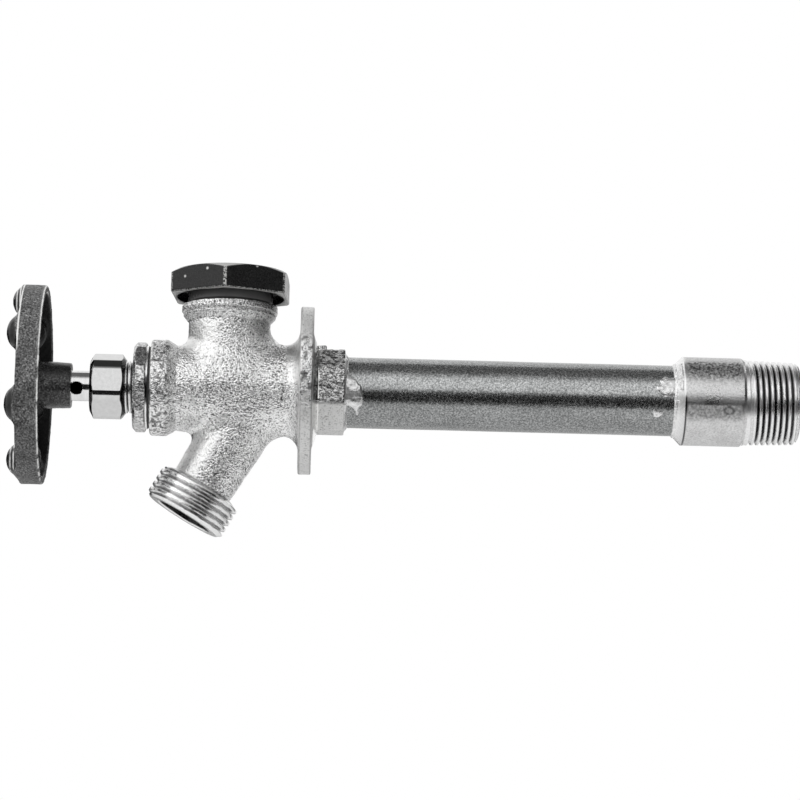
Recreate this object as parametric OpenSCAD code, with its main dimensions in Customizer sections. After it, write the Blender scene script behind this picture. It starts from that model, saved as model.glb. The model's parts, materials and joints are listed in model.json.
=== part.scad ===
// Frost free sillcock with vacuum breaker, drawn closed.
// Millimetres. Origin: centre of the wall flange's back face, on the barrel axis.
// +X runs along the barrel into the wall, +Z is up, the handwheel is at -X.

/* [Wall and barrel] */
// Flange back face to the end of the inlet, the nominal wall length
wall_length = 152.4; // [150:0.1:360]
// Outside diameter of the barrel tube
tube_od = 22.2; // [21.8:0.1:22.6]
// Wall of the barrel tube
tube_wall = 1.1; // [0.9:0.1:1.3]
// How deep the tube sits in the body and in the inlet fitting
tube_socket = 12.5; // [11:0.1:13.5]
// Width of the solder ring along the tube
solder_width = 1.2; // [0.8:0.1:2]
// Height of the solder ring above the tube
solder_height = 1.4; // [0.6:0.1:1.8]
// Height of the solder ring's thin foot
solder_foot = 0.4; // [0.2:0.1:0.5]

/* [Inlet fitting] */
// Length of the whole fitting
inlet_length = 38.7; // [38:0.1:41]
// Outside diameter of the plain sleeve
inlet_sleeve_od = 27.9; // [27.4:0.1:30]
// Length of the sloping lead-in at the sleeve's front
inlet_lead = 2.2; // [1.5:0.1:3]
// Wall of the sleeve at its front edge
sleeve_lip = 0.5; // [0.3:0.1:0.8]
// Length of the slope between the sleeve and the thread
inlet_step = 0.3; // [0.2:0.1:0.8]
// Outside diameter of the male pipe thread, drawn plain
inlet_thread_od = 26.6; // [26.2:0.1:27]
// Length of the thread, with its chamfer
inlet_thread_length = 17.2; // [15:0.1:18]
// Chamfer at the inlet end
inlet_chamfer = 1.2; // [0.6:0.1:1.8]
// Diameter of the tube socket inside the thread
inlet_bore = 16; // [14:0.1:17.5]
// Depth of the tube socket inside the thread
inlet_bore_depth = 12.7; // [10:0.1:15]
// Inlet end to the valve seat's face
seat_depth = 23.4; // [22.6:0.1:24.4]
// Diameter of the water way through the seat
seat_hole = 11; // [9:0.1:11.4]
// Width of the raised seat rim
seat_rim = 1.5; // [1:0.1:1.6]
// Height of the raised seat rim
seat_height = 2; // [1:0.1:2.4]

/* [Body casting] */
// Flange back face to the front face of the boss
body_reach = 50.7; // [50:0.1:54]
// Diameter of the front boss
boss_od = 30; // [29:0.1:32]
// Length of the front boss
boss_length = 5.2; // [4:0.1:6]
// Bevel round the boss's front edge
boss_edge = 0.8; // [0.4:0.1:1.2]
// Length of the slope behind the boss
boss_slope = 3; // [2:0.1:4]
// Diameter of the neck behind the boss
neck_od = 26.4; // [25.8:0.1:27.6]
// Length over which the neck widens to the barrel
neck_taper = 9; // [6:0.1:11]
// Diameter of the barrel of the casting
barrel_od = 28.6; // [27.8:0.1:30]
// Diameter of the main water way
body_bore = 20; // [18:0.1:20.6]
// Fillet between the barrel and the flange
flange_fillet = 4.7; // [3:0.1:5.5]
// Thickness of the wall flange
flange_thickness = 4.2; // [3:0.1:5]
// Height of the wall flange
flange_height = 49.2; // [47:0.1:54]
// Width of the wall flange
flange_width = 70; // [66:0.1:76]
// Distance between the two wall screws
screw_spacing = 50.8; // [46:0.1:54]
// Diameter of the wall screw holes
screw_hole = 5.6; // [4.5:0.1:6.5]
// Diameter of the collar's round neck, next to the flange
collar_od = 27.6; // [27:0.1:28.4]
// Length of the collar behind the flange
collar_length = 10; // [8:0.1:11]
// Length of the collar's round neck
collar_neck = 1.5; // [1:0.1:2]
// Width of the collar across its eight wrench flats
collar_flats = 25.9; // [25.6:0.1:26.2]
// How far the corners between the flats are turned down below the neck
collar_corner_inset = 0.1; // [0.05:0.05:0.3]
// Bevel round both ends of the collar's flats
collar_edge = 0.4; // [0.2:0.1:0.8]
// Length of the cast lug on top of the collar
lug_length = 2.8; // [2:0.1:4]
// Width of the cast lug
lug_width = 3.8; // [3:0.1:5]
// Height of the cast lug above the collar's top flat
lug_height = 0.6; // [0.3:0.1:0.6]
// Flange back face to the middle of the lug
lug_offset = 2.7; // [2.2:0.1:4]

/* [Vacuum-breaker tower] */
// Flange back face to the tower's axis
tower_offset = 26.6; // [25:0.1:28]
// Diameter of the tower
tower_od = 25.6; // [25:0.1:26.6]
// Barrel axis to the tower's top face
tower_height = 26.5; // [25.5:0.1:29]
// Diameter of the collar at the tower's top
tower_collar_od = 30; // [29:0.1:31]
// Height of the collar at the tower's top
tower_collar_height = 2.2; // [1.6:0.1:2.6]
// Width of the groove that parts the collar from the slope below it
tower_groove = 1.3; // [0.8:0.1:1.6]
// Depth of that groove, from the collar's face
tower_groove_depth = 1.2; // [0.6:0.1:1.4]
// Diameter of the bead at the top of the slope
tower_bead_od = 28.7; // [28.4:0.1:28.9]
// Bevel round the tower's top edge
tower_edge = 0.5; // [0.3:0.1:0.8]
// Height of the slope below the bead
tower_slope = 2; // [1:0.1:2.4]
// Fillet between the tower and the barrel on the flange side
tower_fillet = 5.5; // [3:0.1:5.8]
// Fillet between the tower and the barrel on the boss side
tower_front_fillet = 3; // [2:0.1:3.6]
// Depth of the ledge that the float rests on, below the tower's top face
ledge_depth = 13.5; // [12.9:0.1:14]
// Diameter of the hole through the ledge
ledge_hole = 13.2; // [12:0.1:14]
// Diameter of the float chamber
chamber_od = 20; // [19:0.1:20.6]

/* [Spout] */
// Lean of the spout from straight down, towards the hand side
spout_tilt = 30; // [26:0.5:34]
// Flange back face to where the spout's axis meets the barrel axis
spout_offset = 16; // [15:0.1:17]
// Barrel axis to the spout's end, along the spout
spout_reach = 46.65; // [44:0.05:50]
// Diameter of the spout at its root
spout_root_od = 21.2; // [20.4:0.1:22]
// Length of the spout, from the barrel axis, before it narrows
spout_straight = 14; // [10:0.1:20]
// Diameter of the spout above the hose thread
spout_od = 19.6; // [19:0.1:20.2]
// Diameter of the water way in the spout
spout_bore = 13; // [11:0.1:14]
// Fillet under the barrel on the hand side of the spout
spout_fillet = 3.7; // [3:0.1:4.5]
// Outside diameter of the hose thread, drawn plain
hose_thread_od = 27; // [26.4:0.1:27.4]
// Length of the hose thread, with its chamfer
hose_thread_length = 10; // [9:0.1:12]
// Chamfer at the spout's end
hose_chamfer = 0.8; // [0.4:0.1:1.2]
// Length of the slope above the hose thread
hose_shoulder = 1.5; // [1:0.1:2.5]
// Diameter of the spout's mouth
mouth_bore = 17.8; // [16:0.1:19]
// Depth of the spout's mouth
mouth_depth = 8; // [6:0.1:9]

/* [Vacuum-breaker cap] */
// Width of the hexagon across its flats
cap_flats = 35.7; // [35:0.1:38]
// Height of the hexagon
cap_height = 8.6; // [8:0.1:10]
// Turn of the hexagon about the tower
cap_turn = 26; // [0:1:60]
// Diameter that the hexagon's corners are turned down to
cap_corner_od = 40.7; // [39:0.1:44]
// How far the top's flat edge lies inside the hexagon's flats
cap_shoulder = 0.5; // [0.3:0.1:1]
// Slope of the turned top edge
cap_slope = 30; // [20:1:40]
// Diameter of the round skirt under the hexagon
cap_skirt_od = 26.7; // [25.6:0.1:27.6]
// Height of the round skirt under the hexagon
cap_skirt = 1.9; // [1.2:0.1:3]
// Diameter of the thread in the tower, drawn plain
cap_thread_od = 21.5; // [21:0.1:21.8]
// Length of the threaded plug in the tower
cap_plug = 7.6; // [7:0.1:7.8]
// Outside diameter of the recess under the hexagon
cap_recess_od = 33.6; // [32:0.1:34]
// Depth of the recess under the hexagon
cap_recess = 3.5; // [3.3:0.1:4.5]
// Diameter of the air space in the cap
cap_air_od = 16; // [14:0.1:17]
// Diameter of the air hole that the float closes
cap_air_hole = 11; // [9:0.1:12]
// Thickness of the rim round the air hole
cap_air_rim = 2; // [1.2:0.1:3]
// Diameter of the side vents
vent_hole = 3; // [2:0.1:3]
// Number of side vents
vent_count = 6; // [4:1:8]
// Height of the side vents above the hexagon's base
vent_lift = 0.2; // [0.1:0.1:0.3]
// Thickness of the cap gasket
cap_gasket_thickness = 0.6; // [0.4:0.1:1]
// How much narrower the cap gasket is than the skirt
cap_gasket_inset = 0.3; // [0.1:0.1:0.6]

/* [Float] */
// Diameter of the float disc
float_od = 17.2; // [16.4:0.1:18.2]
// Thickness of the float disc
float_thickness = 2.6; // [2:0.1:2.8]
// Length of the guide fins below the disc
float_guide = 2.4; // [1.6:0.1:2.6]
// Thickness of the guide fins
float_fin = 2; // [1.2:0.1:3]
// Diameter of the button that holds the seal
float_button = 5; // [4:0.1:7]
// Diameter of the float seal
float_seal_od = 15.2; // [14:0.1:16.2]
// Thickness of the float seal
float_seal_thickness = 1.5; // [1:0.1:1.6]

/* [Bonnet and packing] */
// Thickness of the bonnet gasket
bonnet_gasket_thickness = 0.7; // [0.5:0.1:1.2]
// Diameter of the bonnet gasket
bonnet_gasket_od = 25.6; // [24.5:0.1:26.4]
// Width of the bonnet hexagon across its flats
bonnet_flats = 26.9; // [26:0.1:27.8]
// Diameter that the bonnet hexagon's corners are turned down to
bonnet_land_od = 28.2; // [28:0.1:30]
// Length of the bonnet hexagon
bonnet_hex_length = 4.6; // [4:0.1:6]
// Length of the cone at the bonnet hexagon's front
bonnet_cone = 1; // [0.6:0.1:1.6]
// How far the bonnet's front face lies inside its flats
bonnet_inset = 0.4; // [0.2:0.1:0.8]
// Turn of one bonnet hexagon corner, from -Y towards +Z
bonnet_turn = 9; // [0:1:60]
// Diameter of the thread that enters the body, drawn plain
bonnet_thread_od = 22; // [21:0.1:22.4]
// Length of the bonnet inside the body
bonnet_plug = 13.7; // [13:0.1:14.6]
// Diameter of the threaded neck
bonnet_neck_od = 16.5; // [15.9:0.1:16.8]
// Length of the threaded neck
bonnet_neck_length = 10; // [9.4:0.1:10.4]
// Diameter of the packing space
stuffing_od = 13.5; // [13:0.1:13.8]
// Depth of the packing space
stuffing_depth = 5.5; // [4.5:0.1:5.8]
// How far the gland enters the packing space
gland_depth = 1.5; // [0.8:0.1:2]
// Width of the packing nut across its flats
nut_flats = 18.4; // [18.2:0.1:20]
// Diameter that the packing nut's corners are turned down to
nut_corner_od = 20.5; // [20.2:0.1:22]
// Length of the packing nut
nut_length = 11.2; // [10.8:0.1:12]
// Length of the cone at the packing nut's front
nut_front_cone = 1.5; // [0.8:0.1:2]
// Length of the cone at the packing nut's back
nut_back_cone = 0.8; // [0.4:0.1:1.6]
// How far the packing nut's front face lies inside its flats
nut_front_inset = 0.7; // [0.4:0.1:1]
// How far the packing nut's back face lies inside its flats
nut_back_inset = 0.2; // [0.1:0.1:0.4]
// Turn of one packing nut corner, from -Y towards +Z
nut_turn = -25; // [-60:1:60]
// Thickness of the packing nut's front wall
nut_wall = 2.6; // [2.2:0.1:2.8]
// Gap between the packing nut and the bonnet hexagon
nut_gap = 2.4; // [1.6:0.1:2.8]

/* [Stem and rod] */
// Diameter of the stem
stem_od = 9.5; // [9.2:0.1:10]
// Stem length seen between the packing nut and the hub
stem_show = 5.9; // [4.5:0.1:9]
// Width of the square end in the hub
stem_square = 6.6; // [6:0.1:7]
// Diameter of the blind cross hole behind the hub
cross_hole = 4; // [3:0.1:4.4]
// Turn of the cross hole, from -Y towards +Z
cross_hole_turn = -19; // [-60:1:60]
// How far the cross hole runs under the hub
cross_hole_lap = 0.3; // [0.1:0.1:0.6]
// Gap between the square end and the hub's front wall
square_gap = 0.5; // [0.3:0.1:1]
// Diameter of the operating thread, drawn plain
stem_thread_od = 12; // [11.4:0.1:12.6]
// Length of the operating thread
stem_thread_length = 10; // [9:0.1:11]
// Length of operating thread inside the bonnet when closed
stem_engage = 8.5; // [7.5:0.1:8.8]
// How far the stem moves out to open the valve fully
stem_lift = 7.5; // [6:0.1:7.8]
// Length of the bonnet's inner thread left over when the valve is open
thread_runout = 1; // [0.6:0.1:1.6]
// Length of stem between the operating thread and the rod's end
stem_shoulder = 1.2; // [0.8:0.1:2]
// Diameter of the rod
rod_od = 8; // [7.6:0.1:8.4]
// Diameter of the rod's end in the stem
rod_tenon_od = 6; // [5:0.1:6.4]
// Length of the rod's end in the stem
rod_tenon = 7.8; // [7:0.1:8.6]
// Gap between the rod's end and the bottom of its socket
rod_tenon_gap = 0.2; // [0.1:0.1:0.4]
// Diameter of the cross pin that locks the rod
rod_pin_od = 2; // [1.6:0.1:2.4]
// Distance of the cross pin from the stem's end
rod_pin_inset = 4; // [3:0.1:5]
// How far the cross pin's ends lie below the stem's face
rod_pin_sink = 0.2; // [0.1:0.1:0.4]

/* [Handwheel] */
// Diameter of the rim
wheel_od = 62.4; // [58:0.1:68]
// Width of the rim
rim_width = 7.8; // [6.6:0.1:9]
// Wall of the rim
rim_wall = 2.4; // [2:0.1:3]
// Bevel round the rim's front edge
rim_front_edge = 0.8; // [0.4:0.1:1.2]
// Bevel round the rim's back edge
rim_back_edge = 0.6; // [0.3:0.1:1]
// Thickness of the front ring and the spokes
wheel_face = 2.5; // [2:0.1:3.2]
// Inside diameter of the front ring
wheel_window = 41; // [38:0.1:42]
// Distance from the hub's back face to the back of the rim
rim_setback = 8.2; // [7:0.1:10]
// Diameter of the hub at the front
hub_front_od = 15.4; // [14.6:0.1:16.4]
// Diameter of the hub at the back
hub_back_od = 14.1; // [13.4:0.1:14.4]
// How far the hub's front lies behind the front ring
hub_recess = 1.5; // [0.5:0.1:2.2]
// Thickness of the hub's front wall
hub_floor = 2.5; // [2:0.1:3.5]
// Number of spokes
spoke_count = 4; // [3:1:6]
// Width of the spokes
spoke_width = 8; // [6:0.1:9]
// Number of lobes on the front ring
lobe_count = 7; // [5:1:9]
// Diameter of a lobe's base
lobe_od = 10.4; // [9:0.1:10.6]
// Height of a lobe
lobe_height = 3.6; // [2.5:0.1:4]
// How far a lobe's base lies inside the rim
lobe_inset = 0.1; // [0.1:0.1:1]
// Turn of one lobe, from -Y towards +Z
lobe_turn = -23; // [-45:0.5:45]
// Diameter of the handle screw's head
handle_head_od = 8; // [7:0.1:10]
// Height of the handle screw's head
handle_head = 2.4; // [1.8:0.1:3]
// Bevel round the handle screw's head
handle_head_edge = 1.2; // [0.6:0.1:1.6]
// Diameter of the handle screw
handle_screw_od = 4; // [3.4:0.1:4.4]
// Length of the handle screw under its head
handle_screw_length = 11; // [9:0.1:12]

/* [Plunger] */
// Diameter of the plunger's shank
plunger_od = 12; // [11.8:0.1:12.4]
// Length of the plunger's shank
plunger_length = 13.2; // [12.6:0.1:15]
// Diameter of the washer cup
cup_od = 16.4; // [16.2:0.1:17.4]
// Thickness of the cup's floor
cup_floor = 4; // [3.6:0.1:5]
// How far the washer stands out of the cup
washer_proud = 1.5; // [1:0.1:2]
// Diameter of the seat washer
washer_od = 14.8; // [14.4:0.1:15]
// Thickness of the seat washer
washer_thickness = 3.8; // [3:0.1:4.4]
// Diameter of the washer screw
washer_screw_od = 4; // [3:0.1:4.4]
// Diameter of the washer screw's head
washer_head_od = 7.2; // [6:0.1:7.8]
// Height of the washer screw's head
washer_head = 2.2; // [1.4:0.1:2.6]
// Length of the washer screw behind the washer
washer_screw_length = 5; // [4.4:0.1:5.4]
// Gap behind the tip of the washer screw
washer_tip_gap = 0.8; // [0.4:0.1:1]
// Distance of the rod's end from the washer cup
rod_inset = 3.2; // [3:0.1:4]
// Depth of the rod's swivel groove
swivel_depth = 1.2; // [0.8:0.1:1.4]
// Diameter of the swivel pins
swivel_pin_od = 1.9; // [1.6:0.1:2]
// Length of the swivel pins
swivel_pin_length = 6.6; // [5.6:0.1:6.8]
// Distance of the swivel pins from the plunger's back end
swivel_inset = 4.5; // [3.6:0.1:6]
// Wall of the guide ring
guide_wall = 1.3; // [1:0.1:1.6]
// Length of the guide ring
guide_length = 8; // [7:0.1:9]
// Distance of the guide ring from the plunger's back end
guide_inset = 2.5; // [1.5:0.1:4]
// Thickness of the guide's fins
guide_fin = 1.6; // [1.2:0.1:2.4]
// Number of guide fins
guide_count = 4; // [3:1:6]

/* [Clearances] */
// Gap between a screw thread and its mate
thread_gap = 0.05; // [0.02:0.01:0.08]
// Radial gap of a running fit
running_gap = 0.08; // [0.05:0.01:0.1]
// Gap between a seal and the face it seals
seal_gap = 0.02; // [0.01:0.01:0.05]
// Gap that the solder fills
solder_gap = 0.05; // [0.02:0.01:0.1]
// Clear space round a piece that moves freely
free_gap = 0.35; // [0.3:0.01:0.5]
// Gap between a piece's end and the bottom of its bore
end_gap = 0.5; // [0.3:0.1:0.8]

/* [Hidden] */
$fn = 96;
// How far a cutting shape runs past a face, and how far joined shapes lap
past = 1;
tube_r = tube_od / 2;
tube_inside = tube_r - tube_wall;
boss_x = -body_reach;
sleeve_x = wall_length - inlet_length;
tube_x0 = collar_length - tube_socket;
tube_x1 = sleeve_x + tube_socket;
seat_x = wall_length - seat_depth;
inlet_thread_x = wall_length - inlet_thread_length;
bonnet_back = boss_x - bonnet_gasket_thickness;
bonnet_front = bonnet_back - bonnet_hex_length;
neck_front = bonnet_front - bonnet_neck_length;
plug_end = boss_x + bonnet_plug;
packing_end = neck_front + stuffing_depth;
packing_start = neck_front + gland_depth;
nut_back = bonnet_front - nut_gap;
nut_front = nut_back - nut_length;
nut_inside = nut_front + nut_wall;
thread_x0 = plug_end - stem_engage;
thread_x1 = thread_x0 + stem_thread_length;
thread_stop = thread_x0 - stem_lift - thread_runout;
shank_end = thread_x1 + rod_tenon + stem_shoulder;
rod_pin_x = shank_end - rod_pin_inset;
hub_back = nut_front - stem_show;
rim_back = hub_back - rim_setback;
rim_front = rim_back - rim_width;
hub_front = rim_front + hub_recess;
square_front = hub_front + hub_floor + square_gap;
washer_front = seat_x - seal_gap;
washer_back = washer_front - washer_thickness;
cup_back = washer_back - cup_floor;
plunger_back = cup_back - plunger_length;
rod_end = cup_back - rod_inset;
swivel_x = plunger_back + swivel_inset;
swivel_y = rod_od / 2 - swivel_depth + swivel_pin_od / 2 + running_gap;
guide_x = plunger_back + guide_inset;
ledge_height = tower_height - ledge_depth;
cap_base = tower_height + cap_gasket_thickness;
cap_hex = cap_base + cap_skirt;
cap_top = cap_hex + cap_height;
plug_bottom = cap_base - cap_plug;
float_base = ledge_height + seal_gap;
float_top = float_base + float_thickness;
tower_r = tower_od / 2;
// The fillet webs lie a little inside the forms that they join, so no faces touch along a line
web_sink = 0.2;
web_inset = 0.6;
web_bite = 0.15;
web_height = barrel_od / 2 - web_sink;
web_width = tower_r - web_inset;
lobe_ball = (pow(lobe_od / 2, 2) + pow(lobe_height, 2)) / (2 * lobe_height);
lobe_ring = wheel_od / 2 - lobe_od / 2 - lobe_inset;
spout_web_x = spout_root_od / 2 + spout_fillet - web_bite;
spout_web_sink = 0.7;
spout_web_z = barrel_od / 2 - spout_web_sink + spout_fillet;
spout_web_s = (sin(spout_tilt) * spout_web_x + spout_web_z) / cos(spout_tilt);

// Turns a profile about the barrel axis: x is the radius, y the place along +X
module turned() {
    rotate([0, 90, 0])
        rotate_extrude()
            children();
}

// A round bar along +X
module bar(x0, x1, d) {
    translate([x0, 0, 0])
        rotate([0, 90, 0])
            cylinder(h = x1 - x0, d = d);
}

// A round pipe along +X
module pipe(x0, x1, outside, inside) {
    difference() {
        bar(x0, x1, outside);
        bar(x0 - past, x1 + past, inside);
    }
}

// A hexagon bar along +X with one corner at the clock angle from -Y towards +Z
module hex_bar(x0, x1, flats, angle) {
    translate([x0, 0, 0])
        rotate([-90 - angle, 0, 0])
            rotate([0, 90, 0])
                cylinder(h = x1 - x0, d = flats / cos(30), $fn = 6);
}

// Places a child at a clock angle round the barrel axis, from -Y towards +Z
module clock(angle, radius) {
    rotate([-angle, 0, 0])
        translate([0, -radius, 0])
            children();
}

// Local +Z runs down the spout, local +X faces the hand side
module along_spout() {
    translate([-spout_offset, 0, 0])
        rotate([0, 180 + spout_tilt, 0])
            children();
}

// An upright prism with a lens outline, tips at plus and minus reach along X
module lens(reach, half_width, z0, z1) {
    radius = (half_width * half_width + reach * reach) / (2 * half_width);
    intersection() {
        translate([0, radius - half_width, z0])
            cylinder(h = z1 - z0, r = radius);
        translate([0, half_width - radius, z0])
            cylinder(h = z1 - z0, r = radius);
    }
}

// Fillet web between the tower and the barrel, side is 1 towards the flange
module tower_web(side, fillet) {
    reach = tower_r + fillet - web_bite;
    translate([-tower_offset, 0, 0])
        intersection() {
            rotate([90, 0, 0])
                linear_extrude(height = 2 * tower_od, center = true)
                    difference() {
                        translate([side > 0 ? 0 : -reach, 4])
                            square([reach, web_height + fillet - 4]);
                        translate([side * reach, web_height + fillet])
                            circle(r = fillet);
                    }
            lens(reach, web_width, 0, tower_height);
        }
}

// Fillet web under the barrel on the hand side of the spout
module spout_web() {
    end = spout_fillet + 2 * past;
    tip = [spout_web_x + sin(spout_tilt) * end, spout_web_s - cos(spout_tilt) * end];
    along_spout()
        intersection() {
            rotate([90, 0, 0])
                linear_extrude(height = 2 * spout_root_od, center = true)
                    difference() {
                        polygon([[0, spout_web_s - spout_root_od * 0.7], [0, spout_web_s],
                            [spout_web_x, spout_web_s], tip]);
                        translate([spout_web_x, spout_web_s])
                            circle(r = spout_fillet);
                    }
            lens(spout_web_x + spout_fillet * 0.6, spout_od / 2 - web_inset + web_sink, 0, spout_reach);
        }
}

module casting_barrel() {
    boss_end = boss_x + boss_length;
    turned() {
        polygon([[0, boss_x], [boss_od / 2 - boss_edge, boss_x], [boss_od / 2, boss_x + boss_edge],
            [boss_od / 2, boss_end], [neck_od / 2, boss_end + boss_slope],
            [barrel_od / 2, boss_end + boss_slope + neck_taper], [barrel_od / 2, -past], [0, -past]]);
        difference() {
            translate([barrel_od / 2 - past, -flange_thickness - flange_fillet])
                square([flange_fillet + past, flange_fillet + past]);
            translate([barrel_od / 2 + flange_fillet, -flange_thickness - flange_fillet])
                circle(r = flange_fillet);
        }
    }
}

// The round neck behind the flange, then the eight wrench flats with their corners turned down
module casting_collar() {
    corner_r = collar_od / 2 - collar_corner_inset;
    flats_back = collar_length - collar_edge;
    bar(-past, collar_neck, collar_od);
    intersection() {
        turned()
            polygon([[0, collar_neck - past], [corner_r - collar_edge, collar_neck - past],
                [corner_r - collar_edge, collar_neck], [corner_r, collar_neck + collar_edge],
                [corner_r, flats_back], [corner_r - collar_edge, collar_length], [0, collar_length]]);
        rotate([0, 90, 0])
            rotate([0, 0, 180 / 8])
                cylinder(d = collar_flats / cos(180 / 8), h = collar_length + past, $fn = 8);
    }
    translate([lug_offset - lug_length / 2, -lug_width / 2, collar_flats / 2 - past])
        cube([lug_length, lug_width, lug_height + past]);
}

module casting_flange() {
    side = (flange_width - flange_height) / 2;
    translate([-flange_thickness, 0, 0])
        rotate([90, 0, 90])
            linear_extrude(height = flange_thickness) {
                square([2 * side, flange_height], center = true);
                translate([-side, 0])
                    circle(d = flange_height);
                translate([side, 0])
                    circle(d = flange_height);
            }
}

module casting_tower() {
    collar_r = tower_collar_od / 2;
    groove_r = collar_r - tower_groove_depth;
    collar_base = tower_height - tower_collar_height;
    bead_top = collar_base - tower_groove;
    translate([-tower_offset, 0, 0])
        rotate_extrude()
            polygon([[0, 0], [tower_r, 0], [tower_r, bead_top - tower_slope],
                [tower_bead_od / 2, bead_top], [groove_r, bead_top], [groove_r, collar_base],
                [collar_r, collar_base], [collar_r, tower_height - tower_edge],
                [collar_r - tower_edge, tower_height], [0, tower_height]]);
    tower_web(1, tower_fillet);
    tower_web(-1, tower_front_fillet);
}

module casting_spout() {
    thread_start = spout_reach - hose_thread_length;
    along_spout()
        rotate_extrude()
            polygon([[0, 0], [spout_root_od / 2, 0], [spout_root_od / 2, spout_straight],
                [spout_od / 2, thread_start - hose_shoulder], [hose_thread_od / 2, thread_start],
                [hose_thread_od / 2, spout_reach - hose_chamfer],
                [hose_thread_od / 2 - hose_chamfer, spout_reach], [0, spout_reach]]);
    spout_web();
}

module body_ways() {
    bar(boss_x - past, plug_end + end_gap, bonnet_thread_od + 2 * thread_gap);
    bar(boss_x, tube_x0 + past, body_bore);
    bar(tube_x0, collar_length + past, tube_od + 2 * solder_gap);
    translate([-tower_offset, 0, 0]) {
        cylinder(h = tower_height + past, d = ledge_hole);
        translate([0, 0, ledge_height])
            cylinder(h = tower_height, d = chamber_od);
        translate([0, 0, plug_bottom - past])
            cylinder(h = tower_height, d = cap_thread_od + 2 * thread_gap);
    }
    along_spout() {
        cylinder(h = spout_reach + past, d = spout_bore);
        translate([0, 0, spout_reach - mouth_depth])
            cylinder(h = mouth_depth + past, d = mouth_bore);
    }
    for (side = [-1, 1])
        translate([0, side * screw_spacing / 2, 0])
            bar(-flange_thickness - past, past, screw_hole);
}

module valve_body() {
    color("silver")
        difference() {
            union() {
                casting_barrel();
                casting_collar();
                casting_flange();
                casting_tower();
                casting_spout();
            }
            body_ways();
        }
}

module barrel_tube() {
    color("darkkhaki")
        pipe(tube_x0 + seal_gap, tube_x1 - seal_gap, tube_od, 2 * tube_inside);
}

module front_solder_ring() {
    color("gainsboro")
        turned()
            polygon([[tube_r, collar_length], [tube_r + solder_height, collar_length],
                [tube_r + solder_foot, collar_length + solder_width / 2],
                [tube_r, collar_length + solder_width]]);
}

module rear_solder_ring() {
    color("gainsboro")
        turned()
            polygon([[tube_r, sleeve_x - solder_width], [tube_r + sleeve_lip, sleeve_x],
                [tube_r, sleeve_x]]);
}

module inlet_fitting() {
    bore_end = wall_length - inlet_bore_depth;
    color("darkgray")
        difference() {
            turned()
                polygon([[0, sleeve_x], [tube_r + sleeve_lip, sleeve_x],
                    [inlet_sleeve_od / 2, sleeve_x + inlet_lead],
                    [inlet_sleeve_od / 2, inlet_thread_x - inlet_step],
                    [inlet_thread_od / 2, inlet_thread_x],
                    [inlet_thread_od / 2, wall_length - inlet_chamfer],
                    [inlet_thread_od / 2 - inlet_chamfer, wall_length], [0, wall_length]]);
            bar(sleeve_x - past, tube_x1, tube_od + 2 * solder_gap);
            difference() {
                bar(sleeve_x, seat_x + seat_height, 2 * tube_inside);
                bar(seat_x, seat_x + seat_height + past, seat_hole + 2 * seat_rim);
            }
            bar(seat_x - past, bore_end + past, seat_hole);
            bar(bore_end, wall_length + past, inlet_bore);
        }
}

module bonnet() {
    color("lightgray")
        difference() {
            union() {
                intersection() {
                    hex_bar(bonnet_front, bonnet_back, bonnet_flats, bonnet_turn);
                    turned()
                        polygon([[0, bonnet_front], [bonnet_flats / 2 - bonnet_inset, bonnet_front],
                            [bonnet_land_od / 2, bonnet_front + bonnet_cone],
                            [bonnet_land_od / 2, bonnet_back], [0, bonnet_back]]);
                }
                bar(neck_front, bonnet_front + past, bonnet_neck_od);
                bar(bonnet_back - past, plug_end, bonnet_thread_od);
            }
            bar(neck_front - past, packing_end, stuffing_od);
            bar(neck_front, plug_end, stem_od + 2 * running_gap);
            bar(thread_stop, plug_end + past, stem_thread_od + 2 * thread_gap);
        }
}

module bonnet_gasket() {
    color("dimgray")
        pipe(bonnet_back, boss_x, bonnet_gasket_od, bonnet_thread_od + 2 * thread_gap);
}

module packing_nut() {
    color("white")
        difference() {
            intersection() {
                hex_bar(nut_front, nut_back, nut_flats, nut_turn);
                turned()
                    polygon([[0, nut_front], [nut_flats / 2 - nut_front_inset, nut_front],
                        [nut_corner_od / 2, nut_front + nut_front_cone],
                        [nut_corner_od / 2, nut_back - nut_back_cone],
                        [nut_flats / 2 - nut_back_inset, nut_back], [0, nut_back]]);
            }
            bar(nut_inside, nut_back + past, bonnet_neck_od + 2 * thread_gap);
            bar(nut_front - past, nut_back, stem_od + 2 * free_gap);
        }
}

module packing_gland() {
    color("goldenrod")
        pipe(nut_inside, packing_start, stuffing_od - 2 * thread_gap, stem_od + 2 * running_gap);
}

module stem_packing() {
    color("black")
        pipe(packing_start, packing_end, stuffing_od - 2 * seal_gap, stem_od + 2 * seal_gap);
}

module stem() {
    color("khaki")
        difference() {
            union() {
                intersection() {
                    bar(square_front, hub_back + past, stem_od);
                    translate([(square_front + hub_back) / 2, 0, 0])
                        rotate([-lobe_turn, 0, 0])
                            cube([hub_back - square_front + past, stem_square, stem_square],
                                center = true);
                }
                bar(hub_back, shank_end, stem_od);
                bar(thread_x0, thread_x1, stem_thread_od);
            }
            bar(square_front - past, hub_front + handle_screw_length + past, handle_screw_od);
            translate([hub_back + cross_hole / 2 - cross_hole_lap, 0, 0])
                rotate([90 - cross_hole_turn, 0, 0])
                    cylinder(h = stem_od, d = cross_hole);
            bar(shank_end - rod_tenon - rod_tenon_gap, shank_end + past,
                rod_tenon_od + 2 * thread_gap);
            translate([rod_pin_x, 0, 0])
                rotate([90, 0, 0])
                    cylinder(h = 2 * stem_od, d = rod_pin_od + 2 * seal_gap, center = true);
        }
}

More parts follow.
